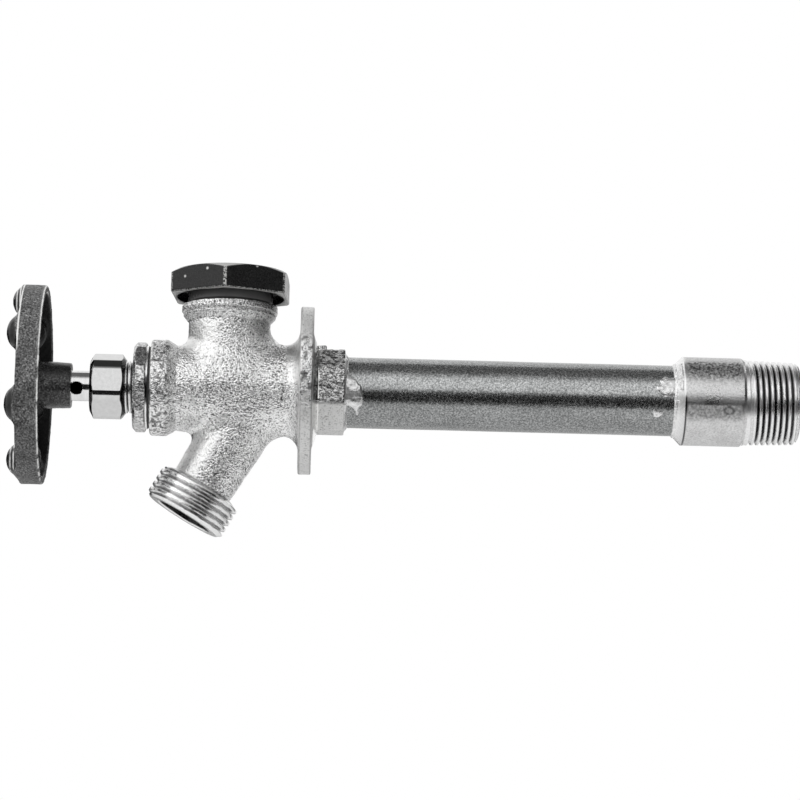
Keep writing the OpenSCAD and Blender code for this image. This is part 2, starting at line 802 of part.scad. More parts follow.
module stem_rod() {
    color("peru")
        difference() {
            union() {
                bar(shank_end - rod_tenon, shank_end + past, rod_tenon_od);
                bar(shank_end, rod_end, rod_od);
            }
            pipe(swivel_x - swivel_pin_od / 2 - running_gap,
                swivel_x + swivel_pin_od / 2 + running_gap,
                rod_od + 2 * past, rod_od - 2 * swivel_depth);
            translate([rod_pin_x, 0, 0])
                rotate([90, 0, 0])
                    cylinder(h = 2 * stem_od, d = rod_pin_od + 2 * seal_gap, center = true);
        }
}

module stem_rod_pin() {
    color("gray")
        translate([rod_pin_x, 0, 0])
            rotate([90, 0, 0])
                cylinder(h = stem_od - 2 * rod_pin_sink, d = rod_pin_od, center = true);
}

module handwheel() {
    rim_r = wheel_od / 2;
    spoke_end = wheel_window / 2 + past;
    color([0.16, 0.16, 0.17])
        difference() {
            union() {
                turned()
                    polygon([[wheel_window / 2, rim_front], [rim_r - rim_front_edge, rim_front],
                        [rim_r, rim_front + rim_front_edge], [rim_r, rim_back - rim_back_edge],
                        [rim_r - rim_back_edge, rim_back], [rim_r - rim_wall, rim_back],
                        [rim_r - rim_wall, rim_front + wheel_face],
                        [wheel_window / 2, rim_front + wheel_face]]);
                translate([hub_front, 0, 0])
                    rotate([0, 90, 0])
                        cylinder(h = hub_back - hub_front, d1 = hub_front_od, d2 = hub_back_od);
                for (i = [0 : spoke_count - 1])
                    clock(lobe_turn + i * 360 / spoke_count, spoke_end)
                        translate([hub_front, 0, -spoke_width / 2])
                            cube([wheel_face, spoke_end - hub_back_od / 2 + 2 * past, spoke_width]);
                for (i = [0 : lobe_count - 1])
                    clock(lobe_turn + i * 360 / lobe_count, lobe_ring)
                        intersection() {
                            translate([rim_front + lobe_ball - lobe_height, 0, 0])
                                sphere(r = lobe_ball);
                            translate([rim_front - lobe_height - past, -lobe_od, -lobe_od])
                                cube([lobe_height + 2 * past, 2 * lobe_od, 2 * lobe_od]);
                        }
            }
            translate([(hub_front + hub_floor + hub_back + past) / 2, 0, 0])
                rotate([-lobe_turn, 0, 0])
                    cube([hub_back + past - hub_front - hub_floor, stem_square + 2 * thread_gap,
                        stem_square + 2 * thread_gap], center = true);
            bar(hub_front - past, hub_back, handle_screw_od + 2 * free_gap);
        }
}

module handle_screw() {
    head_r = handle_head_od / 2;
    head_front = hub_front - handle_head;
    color("lightsteelblue") {
        turned()
            polygon([[0, head_front], [head_r - handle_head_edge, head_front],
                [head_r, head_front + handle_head_edge], [head_r, hub_front], [0, hub_front]]);
        bar(hub_front - past, hub_front + handle_screw_length, handle_screw_od - 2 * seal_gap);
    }
}

module vacuum_breaker_cap() {
    corner = cap_corner_od / 2;
    shoulder = cap_flats / 2 - cap_shoulder;
    color([0.08, 0.08, 0.09])
        translate([-tower_offset, 0, 0])
            difference() {
                union() {
                    intersection() {
                        rotate([0, 0, cap_turn])
                            translate([0, 0, cap_hex])
                                cylinder(h = cap_height, d = cap_flats / cos(30), $fn = 6);
                        rotate_extrude()
                            polygon([[0, cap_hex], [corner, cap_hex],
                                [corner, cap_top - (corner - shoulder) * tan(cap_slope)],
                                [shoulder, cap_top], [0, cap_top]]);
                    }
                    translate([0, 0, cap_base])
                        cylinder(h = cap_skirt + past, d = cap_skirt_od);
                    translate([0, 0, plug_bottom])
                        cylinder(h = cap_plug + past, d = cap_thread_od);
                }
                difference() {
                    translate([0, 0, cap_hex - past])
                        cylinder(h = cap_recess + past, d = cap_recess_od);
                    cylinder(h = cap_top, d = cap_skirt_od);
                }
                translate([0, 0, plug_bottom - past])
                    cylinder(h = cap_air_rim + 2 * past, d = cap_air_hole);
                translate([0, 0, plug_bottom + cap_air_rim])
                    cylinder(h = cap_hex + cap_recess - plug_bottom - cap_air_rim, d = cap_air_od);
                for (i = [0 : vent_count - 1])
                    rotate([0, 0, cap_turn + i * 360 / vent_count])
                        translate([cap_air_od / 2 - past, 0, cap_hex + vent_hole / 2 + vent_lift])
                            rotate([0, 90, 0])
                                cylinder(h = (cap_skirt_od - cap_air_od) / 2 + 2 * past, d = vent_hole);
            }
}

module cap_gasket() {
    color("dimgray")
        translate([-tower_offset, 0, tower_height])
            difference() {
                cylinder(h = cap_gasket_thickness, d = cap_skirt_od - cap_gasket_inset);
                translate([0, 0, -past])
                    cylinder(h = cap_gasket_thickness + 2 * past, d = cap_thread_od + 2 * thread_gap);
            }
}

module vacuum_breaker_float() {
    fin = ledge_hole - 2 * free_gap;
    color("ivory")
        translate([-tower_offset, 0, 0]) {
            translate([0, 0, float_base])
                cylinder(h = float_thickness, d = float_od);
            translate([0, 0, float_top - past])
                cylinder(h = float_seal_thickness + end_gap + past, d = float_button);
            intersection() {
                translate([0, 0, float_base - float_guide])
                    cylinder(h = float_guide + past, d = fin);
                for (turn = [0, 90])
                    rotate([0, 0, turn])
                        translate([-fin, -float_fin / 2, 0])
                            cube([2 * fin, float_fin, float_base + past]);
            }
        }
}

module float_seal() {
    color("black")
        translate([-tower_offset, 0, float_top])
            difference() {
                cylinder(h = float_seal_thickness, d = float_seal_od);
                translate([0, 0, -past])
                    cylinder(h = float_seal_thickness + 2 * past, d = float_button + 2 * thread_gap);
            }
}

module plunger() {
    color("gold")
        difference() {
            union() {
                bar(plunger_back, cup_back + past, plunger_od);
                bar(cup_back, washer_front - washer_proud, cup_od);
            }
            bar(plunger_back - past, rod_end + free_gap, rod_od + 2 * running_gap);
            bar(washer_back, washer_front, washer_od + 2 * seal_gap);
            bar(washer_back - washer_screw_length - washer_tip_gap, washer_front, washer_screw_od);
            for (side = [-1, 1])
                translate([swivel_x, side * swivel_y, 0])
                    cylinder(h = 2 * plunger_od, d = swivel_pin_od + 2 * seal_gap, center = true);
        }
}

module swivel_pins() {
    color("gray")
        for (side = [-1, 1])
            translate([swivel_x, side * swivel_y, 0])
                cylinder(h = swivel_pin_length, d = swivel_pin_od, center = true);
}

module stem_guide() {
    fin_r = tube_inside - free_gap;
    ring_r = plunger_od / 2 + guide_wall;
    color("whitesmoke")
        difference() {
            union() {
                bar(guide_x, guide_x + guide_length, 2 * ring_r);
                intersection() {
                    bar(guide_x, guide_x + guide_length, 2 * fin_r);
                    for (i = [0 : guide_count - 1])
                        clock(45 + i * 360 / guide_count, fin_r + past)
                            translate([guide_x, 0, -guide_fin / 2])
                                cube([guide_length, fin_r - ring_r + past + guide_wall / 2, guide_fin]);
                }
            }
            bar(guide_x - past, guide_x + guide_length + past, plunger_od + 2 * thread_gap);
        }
}

module seat_washer() {
    color([0.12, 0.12, 0.12])
        pipe(washer_back, washer_front, washer_od, washer_screw_od + 2 * thread_gap);
}

module seat_washer_screw() {
    color("darkgoldenrod") {
        bar(washer_front, washer_front + washer_head, washer_head_od);
        bar(washer_back - washer_screw_length, washer_front + past, washer_screw_od - 2 * seal_gap);
    }
}

handwheel();
handle_screw();
stem();
stem_rod();
stem_rod_pin();
packing_nut();
packing_gland();
stem_packing();
bonnet();
bonnet_gasket();
valve_body();
vacuum_breaker_cap();
cap_gasket();
vacuum_breaker_float();
float_seal();
barrel_tube();
front_solder_ring();
inlet_fitting();
rear_solder_ring();
plunger();
swivel_pins();
stem_guide();
seat_washer();
seat_washer_screw();
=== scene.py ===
import json
import math

import bmesh
import bpy
import numpy as np
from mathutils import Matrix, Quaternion, Vector


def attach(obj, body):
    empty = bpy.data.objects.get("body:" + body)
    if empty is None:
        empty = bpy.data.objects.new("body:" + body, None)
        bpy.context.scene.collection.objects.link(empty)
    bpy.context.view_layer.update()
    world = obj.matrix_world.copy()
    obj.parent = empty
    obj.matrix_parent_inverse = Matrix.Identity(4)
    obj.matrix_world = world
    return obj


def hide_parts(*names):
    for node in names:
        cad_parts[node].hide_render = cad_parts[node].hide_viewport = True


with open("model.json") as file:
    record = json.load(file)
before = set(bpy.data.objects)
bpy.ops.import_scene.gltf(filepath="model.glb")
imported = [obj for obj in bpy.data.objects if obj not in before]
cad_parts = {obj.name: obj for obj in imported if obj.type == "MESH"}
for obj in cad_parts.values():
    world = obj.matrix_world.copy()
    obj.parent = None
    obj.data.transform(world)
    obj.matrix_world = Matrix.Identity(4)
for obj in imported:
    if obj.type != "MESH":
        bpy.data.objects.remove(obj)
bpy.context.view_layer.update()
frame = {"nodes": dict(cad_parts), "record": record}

MM = 0.001
TAU = 2 * math.pi


def axis_frame(origin, along, across):
    """Frame of a turned axis: its origin, and the directions along, across and third."""
    along = np.array(along, float)
    across = np.array(across, float)
    return np.array(origin, float), np.stack([along, across, np.cross(along, across)])


# Axes and sizes that several pieces share
SPOUT_TILT = math.radians(30)
BARREL = axis_frame((0, 0, 0), (1, 0, 0), (0, 1, 0))
TOWER = axis_frame((-26.6, 0, 0), (0, 0, 1), (1, 0, 0))
SPOUT = axis_frame((-16, 0, 0), (-math.sin(SPOUT_TILT), 0, -math.cos(SPOUT_TILT)), (0, 1, 0))
TUBE_R, TUBE_BORE_R = 11.1, 10.0
TUBE_END_X = 126.2
STEM_R = 4.75
HUB_FRONT_X, HUB_BACK_X = -90.0, -75.5
WHEEL_TURN = math.radians(-23.0)
# The place that closes an outline, well past its axis
FAR = -40.0


# Numbers: random grain, masks, outlines and distance fields


def lattice(x, y, z, seed):
    """A fixed random value from -1 to 1 for each whole-number point."""
    n = (x * 374761393 + y * 668265263 + z * 2246822519 + seed * 3266489917) & 0xFFFFFFFF
    n = ((n ^ (n >> 13)) * 1274126177) & 0xFFFFFFFF
    n = n ^ (n >> 16)
    return (n & 0xFFFF) / 32767.5 - 1


def grain(points, size, seed):
    """Smooth random values from -1 to 1, with features about size across."""
    p = points / size
    cell = np.floor(p).astype(np.int64)
    t = p - cell
    t = t * t * (3 - 2 * t)
    total = 0
    for corner in np.ndindex(2, 2, 2):
        weight = np.where(corner, t, 1 - t).prod(axis=-1)
        total = total + weight * lattice(*np.moveaxis(cell + corner, -1, 0), seed)
    return total


def ramp(value, low, high):
    """0 below low, 1 above high, smooth between."""
    t = np.clip((value - low) / (high - low), 0, 1)
    return t * t * (3 - 2 * t)


def fall(value, full, gone):
    """1 below full, 0 above gone, smooth between."""
    return ramp(-value, -gone, -full)


def window(value, start, full, fade, end):
    """1 from full to fade, 0 below start and above end, smooth between."""
    return ramp(value, start, full) * fall(value, fade, end)


def near(value, centre, full, gone):
    """1 within full of a centre, 0 farther than gone, smooth between."""
    return fall(np.abs(value - centre), full, gone)


def soft_min(a, b, width):
    """The smaller of two values, with the corner between them rounded."""
    h = np.maximum(width - np.abs(a - b), 0) / width
    return np.minimum(a, b) - h * h * width / 4


def round_union(a, b, radius):
    """Joins two distance fields with a fillet."""
    u = np.maximum(radius - a, 0)
    v = np.maximum(radius - b, 0)
    return np.maximum(radius, np.minimum(a, b)) - np.sqrt(u * u + v * v)


def round_meet(a, b, edge):
    """What two distance fields share, with the edge between them rounded."""
    a, b = a + edge, b + edge
    return np.minimum(np.maximum(a, b), 0) + np.hypot(np.maximum(a, 0), np.maximum(b, 0)) - edge


def span(value, low, high):
    """Distance field of the space between two planes."""
    return np.abs(value - (low + high) / 2) - (high - low) / 2


def round_box(points, centre, half, edge):
    """Distance field of a box with half sizes, grown by its rounded edges."""
    past = np.abs(points - np.array(centre)) - np.array(half)
    return np.linalg.norm(np.maximum(past, 0), axis=1) + np.minimum(past.max(axis=1), 0) - edge


def outline_distance(x, y, outline):
    """Signed distance from points to a closed outline, negative inside."""
    nearest = np.full(x.shape, 1e12)
    inside = np.zeros(x.shape, bool)
    count = len(outline)
    for i in range(count):
        ax, ay = outline[i]
        bx, by = outline[(i + 1) % count]
        ex, ey = bx - ax, by - ay
        wx, wy = x - ax, y - ay
        t = np.clip((wx * ex + wy * ey) / (ex * ex + ey * ey), 0, 1)
        nearest = np.minimum(nearest, (wx - ex * t) ** 2 + (wy - ey * t) ** 2)
        crosses = (ay > y) != (by > y)
        if ey != 0:
            inside ^= crosses & (x < ex * (y - ay) / ey + ax)
    return np.where(inside, -1, 1) * np.sqrt(nearest)


def rounded(points):
    """Turns the corners of an outline into arcs. A point is (along, radius, corner radius)."""
    steps = 4
    out = []
    for i, (along, radius, *corner) in enumerate(points):
        tip = np.array([along, radius])
        if not corner:
            out.append(tip)
            continue
        a, b = np.array(points[i - 1][:2]) - tip, np.array(points[i + 1][:2]) - tip
        la, lb = np.linalg.norm(a), np.linalg.norm(b)
        a, b = a / la, b / lb
        half = math.acos(np.clip(a @ b, -1, 1)) / 2
        cut = min(corner[0] / math.tan(half), 0.48 * la, 0.48 * lb)
        centre = tip + (a + b) / np.linalg.norm(a + b) * cut / math.cos(half)
        v0, v1 = tip + a * cut - centre, tip + b * cut - centre
        sweep = math.pi - 2 * half
        for t in np.linspace(0, 1, steps + 1):
            v = (math.sin((1 - t) * sweep) * v0 + math.sin(t * sweep) * v1) / math.sin(sweep)
            out.append(centre + v)
    return out


def local_to(points, axis):
    """Place along an axis and distance from it."""
    origin, basis = axis
    local = (points - origin) @ basis.T
    return local[:, 0], np.hypot(local[:, 1], local[:, 2])


def clock_of(points):
    """Angle round the barrel in degrees: 0 faces the camera and 90 is up."""
    return np.degrees(np.arctan2(points[:, 2], -points[:, 1]))


# Meshes


def turn_angles(count):
    return np.linspace(0, TAU, count, endpoint=False)


def rings(along, radius, theta, axis):
    """Grid of points in the CAD frame: one ring for each row of along and radius."""
    along, radius, theta = np.broadcast_arrays(along, radius, theta)
    origin, basis = axis
    return origin + np.stack([along, radius * np.cos(theta), radius * np.sin(theta)], -1) @ basis


def new_object(name, data):
    obj = bpy.data.objects.new(name, data)
    bpy.context.scene.collection.objects.link(obj)
    return obj


def add_piece(name, points, faces, body, slot, nodes=(), paint=None, sharp=35, tidy=True):
    """Makes a mesh object from millimetre points, riding on a body in place of CAD nodes."""
    mesh = bpy.data.meshes.new(name)
    points = np.asarray(points, float).reshape(-1, 3) * MM
    mesh.from_pydata(points.tolist(), [], np.asarray(faces).tolist())
    if tidy:
        bm = bmesh.new()
        bm.from_mesh(mesh)
        bmesh.ops.remove_doubles(bm, verts=bm.verts, dist=1e-7)
        bmesh.ops.dissolve_degenerate(bm, edges=bm.edges, dist=1e-7)
        bmesh.ops.recalc_face_normals(bm, faces=bm.faces)
        bm.to_mesh(mesh)
        bm.free()
    mesh.shade_smooth()
    if sharp:
        mesh.set_sharp_from_angle(angle=math.radians(sharp))
    mesh.materials.append(PAINT[paint or slot])
    obj = new_object(name, mesh)
    if tidy:
        even = obj.modifiers.new("even_normals", "WEIGHTED_NORMAL")
        even.keep_sharp = True
    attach(obj, body)
    if nodes:
        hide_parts(*nodes)
    return obj


def turned_piece(name, rows, theta, slot, axis=BARREL, closed=True, **rest):
    """A fixed piece from rows of (place along the axis, radius or radii round it).
    A closed one also joins its last row to its first."""
    along = np.array([a for a, _ in rows])[:, None]
    radius = np.array([r * np.ones(len(theta)) for _, r in rows])
    count, around = radius.shape
    i = np.arange(count if closed else count - 1)[:, None]
    j = np.arange(around)[None, :]
    i2, j2 = (i + 1) % count, (j + 1) % around
    corners = (i * around + j, i * around + j2, i2 * around + j2, i2 * around + j)
    faces = np.stack(np.broadcast_arrays(*corners), -1).reshape(-1, 4)
    return add_piece(name, rings(along, radius, theta, axis), faces, "tap_body", slot, **rest)


def set_layers(obj, **layers):
    """Stores numbers per vertex for the materials to read."""
    for name, values in layers.items():
        layer = obj.data.attributes.new(name, "FLOAT", "POINT")
        layer.data.foreach_set("value", np.asarray(values, np.float32).ravel())


def vertex_places(obj):
    """Vertex places of a piece, in millimetres."""
    places = np.empty(len(obj.data.vertices) * 3)
    obj.data.vertices.foreach_get("co", places)
    return places.reshape(-1, 3) / MM


def hex_angles(flats, turn, corner, per_flat, per_corner):
    """Angles round a hexagon with rounded corners, closer together at the corners."""
    edge = math.atan((flats / 2 - corner) * math.tan(math.pi / 6) / (flats / 2))
    flat = np.linspace(-edge, edge, per_flat, endpoint=False)
    bend = np.linspace(edge, math.pi / 3 - edge, per_corner, endpoint=False)
    one = np.concatenate([flat, bend])
    return np.concatenate([turn + math.pi / 6 + k * math.pi / 3 + one for k in range(6)])


def hex_radius(theta, flats, turn, corner):
    """Radius of a hexagon with rounded corners. One corner is at the angle turn."""
    phi = np.abs((theta - turn) % (math.pi / 3) - math.pi / 6)
    half = flats / 2
    reach = (half - corner) / math.cos(math.pi / 6)
    delta = math.pi / 6 - phi
    bend = reach * np.cos(delta) + np.sqrt(np.maximum(corner**2 - (reach * np.sin(delta)) ** 2, 0))
    on_flat = half * np.tan(phi) <= (half - corner) * math.tan(math.pi / 6)
    return np.where(on_flat, half / np.cos(phi), bend)


def thread(along, theta, pitch, depth, crest=0.2):
    """How far a right-hand thread lies below its crest. Crest is its flat share of the pitch."""
    u = (along / pitch - theta / TAU) % 1.0
    ridge = np.abs(2 * u - 1)
    return depth * ramp(ridge, crest, 0.96)


def sample(field, low, high, cell):
    """Values of a distance field on a grid: measured near its surface, only signs elsewhere."""
    block = 8
    cube = (block,) * 3
    margin = ((0, 1),) * 3
    count = np.ceil((np.array(high, float) - low) / (cell * block)).astype(int)
    axes = [low[i] + (np.arange(count[i]) + 0.5) * block * cell for i in range(3)]
    coarse = field(np.stack(np.meshgrid(*axes, indexing="ij"), -1).reshape(-1, 3)).reshape(count)
    value = np.kron(np.sign(coarse), np.ones(cube)).astype(np.float32)
    value = np.pad(value, margin, mode="edge")
    close = np.kron(np.abs(coarse) < block * cell * 1.15, np.ones(cube, bool))
    close = np.pad(close, margin)
    for axis in range(3):
        close |= np.roll(close, 1, axis)
    value[close] = field(low + np.argwhere(close) * cell)
    return value


def crossed_cells(value):
    """Grid cells that the surface passes through, and its mean place inside each."""
    inside = value < 0
    nx, ny, nz = (s - 1 for s in value.shape)
    corners = np.array(list(np.ndindex(2, 2, 2)))
    filled = sum(inside[i : i + nx, j : j + ny, k : k + nz].astype(np.int8) for i, j, k in corners)
    cells = np.argwhere((filled > 0) & (filled < 8))
    total = np.zeros((len(cells), 3))
    hits = np.zeros((len(cells), 1))
    for edge in np.eye(3, dtype=int):
        for corner in corners[corners @ edge == 0]:
            va = value[tuple((cells + corner).T)]
            vb = value[tuple((cells + corner + edge).T)]
            cut = (va < 0) != (vb < 0)
            t = np.where(cut, va / np.where(cut, va - vb, 1), 0)[:, None]
            total += np.where(cut[:, None], corner + t * edge, 0)
            hits += cut[:, None]
    return cells, total / hits


def crossed_faces(value, cells):
    """One face for each grid edge that the surface crosses, between the four cells round it."""
    inside = value < 0
    size = value.shape
    index = np.full(tuple(s - 1 for s in size), -1, np.int64)
    index[tuple(cells.T)] = np.arange(len(cells))
    faces = []
    for axis in range(3):
        step, u, v = np.roll(np.eye(3, dtype=int), -axis, axis=0)
        first = inside[: size[0] - step[0], : size[1] - step[1], : size[2] - step[2]]
        second = inside[step[0] :, step[1] :, step[2] :]
        for edges, flip in ((first & ~second, False), (~first & second, True)):
            at = np.argwhere(edges)
            quad = [index[tuple((at - o).T)] for o in (u + v, v, 0 * u, u)]
            faces.append(np.stack(quad[::-1] if flip else quad, -1))
    return np.concatenate(faces)


def slope_at(field, points, step=0.02):
    """Unit outward direction and distance of a field at points."""
    slope = np.zeros_like(points)
    for axis in range(3):
        offset = np.eye(3)[axis] * step
        slope[:, axis] = field(points + offset) - field(points - offset)
    length = np.maximum(np.linalg.norm(slope, axis=1), 1e-9)
    return slope / length[:, None], field(points) / np.maximum(length / (2 * step), 0.5)


def surface(field, low, high, cell):
    """Meshes the zero level of a distance field with surface nets. Returns points and faces."""
    low = np.array(low, float)
    value = sample(field, low, high, cell)
    cells, within = crossed_cells(value)
    points = low + (cells + within) * cell
    for _ in range(2):
        slope, distance = slope_at(field, points)
        points = points - slope * np.clip(distance, -cell, cell)[:, None]
    return points, crossed_faces(value, cells)


# Materials


def rgba(colour):
    """A colour or a grey as the four numbers that Blender takes."""
    return (*(colour if isinstance(colour, tuple) else (colour,) * 3), 1)


class Paint:
    """A material under construction: the Principled shader and short ways to add nodes."""

    def __init__(self, name, **sockets):
        self.material = bpy.data.materials.new(name)
        self.material.use_nodes = True
        self.tree = self.material.node_tree
        self.shader = self.tree.nodes["Principled BSDF"]
        for socket, value in sockets.items():
            self.shader.inputs[socket.replace("_", " ").title()].default_value = value
        self.where = self.node("TexCoord").outputs["Object"]

    def node(self, kind, **values):
        """A new node, with values for its sockets."""
        node = self.tree.nodes.new("ShaderNode" + kind)
        for socket, value in values.items():
            node.inputs[socket].default_value = value
        return node

    def link(self, source, target):
        self.tree.links.new(source, target)

    def noise(self, size, detail=2.0, rough=0.5, stretch=None):
        """Noise with features about size millimetres across."""
        node = self.node("TexNoise", Scale=1000 / size, Detail=detail, Roughness=rough)
        source = self.where
        if stretch:
            squeeze = self.node("Mapping", Scale=stretch)
            self.link(source, squeeze.inputs["Vector"])
            source = squeeze.outputs["Vector"]
        self.link(source, node.inputs["Vector"])
        return node.outputs["Fac"]

    def dots(self, spacing, radius):
        """White dots on black, with uneven places. Both sizes are in millimetres."""
        node = self.node("TexVoronoi", Scale=1000 / spacing)
        self.link(self.where, node.inputs["Vector"])
        edge = radius / spacing
        return self.bands(node.outputs["Distance"], (edge * 0.6, 1.0), (edge * 1.4, 0.0))

    def attribute(self, name):
        """A layer of the mesh, stored by set_layers()."""
        node = self.node("Attribute")
        node.attribute_name = name
        return node.outputs["Fac"]

    def bands(self, source, *stops):
        """A colour ramp with stops of (place, grey or colour)."""
        node = self.node("ValToRGB")
        elements = node.color_ramp.elements
        while len(elements) < len(stops):
            elements.new(0.5)
        for element, (at, colour) in zip(elements, stops):
            element.position = at
            element.color = rgba(colour)
        self.link(source, node.inputs["Fac"])
        return node.outputs["Color"]

    def vary(self, source, low, high):
        """Spreads noise over its usual range, from a low grey or colour to a high one."""
        return self.bands(source, (0.3, low), (0.7, high))

    def mix(self, amount, a, b, blend="MIX"):
        """Blends two colours. Each value is a socket, a layer's name, a colour or a number."""
        node = self.node("Mix")
        node.data_type = "RGBA"
        node.blend_type = blend
        for socket, value in (("Factor", amount), ("A", a), ("B", b)):
            target = [s for s in node.inputs if s.name == socket and s.enabled][-1]
            if isinstance(value, str):
                value = self.attribute(value)
            if isinstance(value, bpy.types.NodeSocket):
                self.link(value, target)
            else:
                target.default_value = value if socket == "Factor" else rgba(value)
        return [s for s in node.outputs if s.enabled][0]

    def times(self, a, b):
        return self.mix(1.0, a, b, "MULTIPLY")

    def bump(self, source, depth, strength):
        """Adds relief of a depth in millimetres on top of any relief already there."""
        node = self.node("Bump", Strength=strength, Distance=depth * MM)
        self.link(source, node.inputs["Height"])
        normal = self.shader.inputs["Normal"]
        if normal.is_linked:
            self.link(normal.links[0].from_socket, node.inputs["Normal"])
        self.link(node.outputs["Normal"], normal)

    def colour(self, source):
        self.link(source, self.shader.inputs["Base Color"])

    def rough(self, source):
        self.link(source, self.shader.inputs["Roughness"])


def casting_paint():
    """Plating over sand-cast metal: bright and pitted, smooth on machined faces, with painted shade in the
    bores and other shaded places.
    """
    p = Paint("plated_casting", metallic=1.0)
    grains = p.noise(0.58, 1.6, 0.5)
    swell = p.noise(1.9, 2.0)
    patches = p.noise(9, 2.0)
    sand = p.attribute("sand")
    tone = p.bands(grains, (0.33, 0.24), (0.43, 0.90), (0.62, 0.98))
    tone = p.times(tone, p.bands(patches, (0.35, 0.92), (0.65, 1.0)))
    pits = p.times(p.dots(1.15, 0.26), p.bands(p.noise(2.6, 1.0), (0.44, 0.0), (0.56, 1.0)))
    pits = p.times(pits, sand)
    tone = p.mix(pits, p.mix(sand, (0.86, 0.86, 0.85), tone), 0.10)
    # Painted shade and dark sand holes, from a per-vertex layer, darken the tone.
    p.colour(p.mix("soot", tone, 0.02))
    gloss = p.mix(sand, 0.16, p.vary(swell, 0.19, 0.29))
    p.rough(p.mix("satin", gloss, 0.55))
    p.bump(p.mix(sand, 0.5, grains), 0.40, 1.0)
    p.bump(p.mix(sand, 0.5, swell), 0.2, 0.6)
    return p.material


def wheel_paint():
    """Charcoal paint: grey and specked outside, near black elsewhere with painted shade inside the cup,
    glossy on lobes and hub, rubbed through at edges.
    """
    p = Paint("handle_paint", metallic=0.0)
    p.shader.inputs["Specular IOR Level"].default_value = 0.3
    specks = p.noise(0.55, 2.0, 0.6)
    patches = p.noise(6, 3.0)
    coat = p.bands(specks, (0.34, 0.016), (0.5, 0.10), (0.62, 0.19), (0.74, 0.4))
    coat = p.times(coat, p.bands(patches, (0.32, 0.45), (0.66, 1.0)))
    # Painted shade: near black where the outer layer is low, as inside the cup and on the hub's top.
    coat = p.mix("outer", 0.003, coat)
    p.colour(p.mix("wear", coat, (0.78, 0.78, 0.77)))
    dull = p.vary(patches, 0.44, 0.58)
    p.rough(p.mix("gloss", dull, p.vary(patches, 0.16, 0.24)))
    p.bump(specks, 0.07, 0.7)
    return p.material


def thread_paint():
    """Bright cut threads, with painted shade in their roots and in other shaded hollows."""
    p = Paint("cut_thread", metallic=1.0)
    mottle = p.noise(0.6, 2.0)
    bright = p.vary(mottle, 0.78, 0.98)
    p.colour(p.mix("dirt", bright, (0.04, 0.04, 0.042)))
    p.rough(p.vary(mottle, 0.16, 0.28))
    p.bump(mottle, 0.06, 0.8)
    return p.material


def inlet_paint():
    """Satin plating on the sleeve, bright threads behind it with painted shade in their roots."""
    p = Paint("plated_inlet", metallic=1.0)
    specks = p.noise(0.6, 2.0, 0.6)
    patches = p.noise(6, 2.0)
    satin = p.bands(specks, (0.32, 0.54), (0.5, 0.68), (0.66, 0.76))
    satin = p.times(satin, p.bands(patches, (0.35, 0.86), (0.65, 1.0)))
    bright = p.vary(specks, 0.8, 0.96)
    blots = p.bands(p.noise(0.8, 1.5), (0.38, 0.16), (0.52, 0.5), (0.66, 0.8))
    satin = p.mix("stain", satin, blots)
    tone = p.mix("cut", satin, bright)
    p.colour(p.mix("dirt", tone, (0.03, 0.03, 0.032)))
    gloss = p.vary(patches, 0.24, 0.34)
    p.rough(p.mix("satin", gloss, 0.6))
    p.bump(p.mix("cut", specks, 0.5), 0.08, 0.8)
    return p.material


def stem_paint():
    """Bright turned metal, with painted shade that makes it black inside the cross hole."""
    p = Paint("stem_metal", metallic=1.0)
    rubbed = p.noise(1.2, 2.0, 0.5, (1, 0.2, 0.2))
    bright = p.vary(rubbed, 0.70, 0.84)
    p.colour(p.mix("soot", bright, 0.004))
    p.rough(p.vary(rubbed, 0.09, 0.16))
    p.bump(rubbed, 0.01, 0.6)
    return p.material


def nut_paint():
    """Polished chrome, with a painted dark reflection along one corner and painted shade on the rear cone.
    """
    p = Paint("polished_nut", metallic=1.0)
    rubbed = p.noise(1.2, 3.0, 0.6)
    bright = p.vary(rubbed, 0.60, 0.68)
    p.colour(p.mix("soot", bright, 0.008))
    p.rough(p.vary(p.noise(2.8, 2.0), 0.05, 0.1))
    p.bump(rubbed, 0.004, 0.6)
    return p.material


def mottled(name, dark, light, size, rough, depth, metallic=1.0):
    """A mottled tone, uneven gloss and a fine relief. Plastic and rubber have metallic 0."""
    p = Paint(name, metallic=metallic)
    mottle = p.noise(size, 3.0, 0.6)
    p.colour(p.vary(mottle, dark, light))
    p.rough(p.vary(p.noise(size * 2.3, 2.0), *rough))
    p.bump(mottle, depth, 0.6)
    return p.material


def tube_paint():
    """Drawn tube with a mottled tin coat: painted shade underneath and near the casting, and a painted dark
    reflection along the top.
    """
    p = Paint("tinned_tube", metallic=1.0)
    specks = p.noise(0.52, 2.0, 0.6)
    patches = p.noise(8, 3.0, 0.6, (0.35, 1, 1))
    dark, middle, light = (0.23, 0.235, 0.235), (0.44, 0.45, 0.45), (0.74, 0.75, 0.75)
    tone = p.bands(specks, (0.34, dark), (0.5, middle), (0.66, light))
    tone = p.times(tone, p.vary(patches, 0.76, 1.0))
    spots = p.times(p.dots(11, 0.5), p.bands(specks, (0.4, 0.2), (0.6, 1.0)))
    tone = p.mix(spots, tone, 0.06)
    p.colour(p.mix("under", tone, p.times(tone, 0.72)))
    p.rough(p.vary(specks, 0.2, 0.32))
    p.bump(specks, 0.03, 0.6)
    return p.material


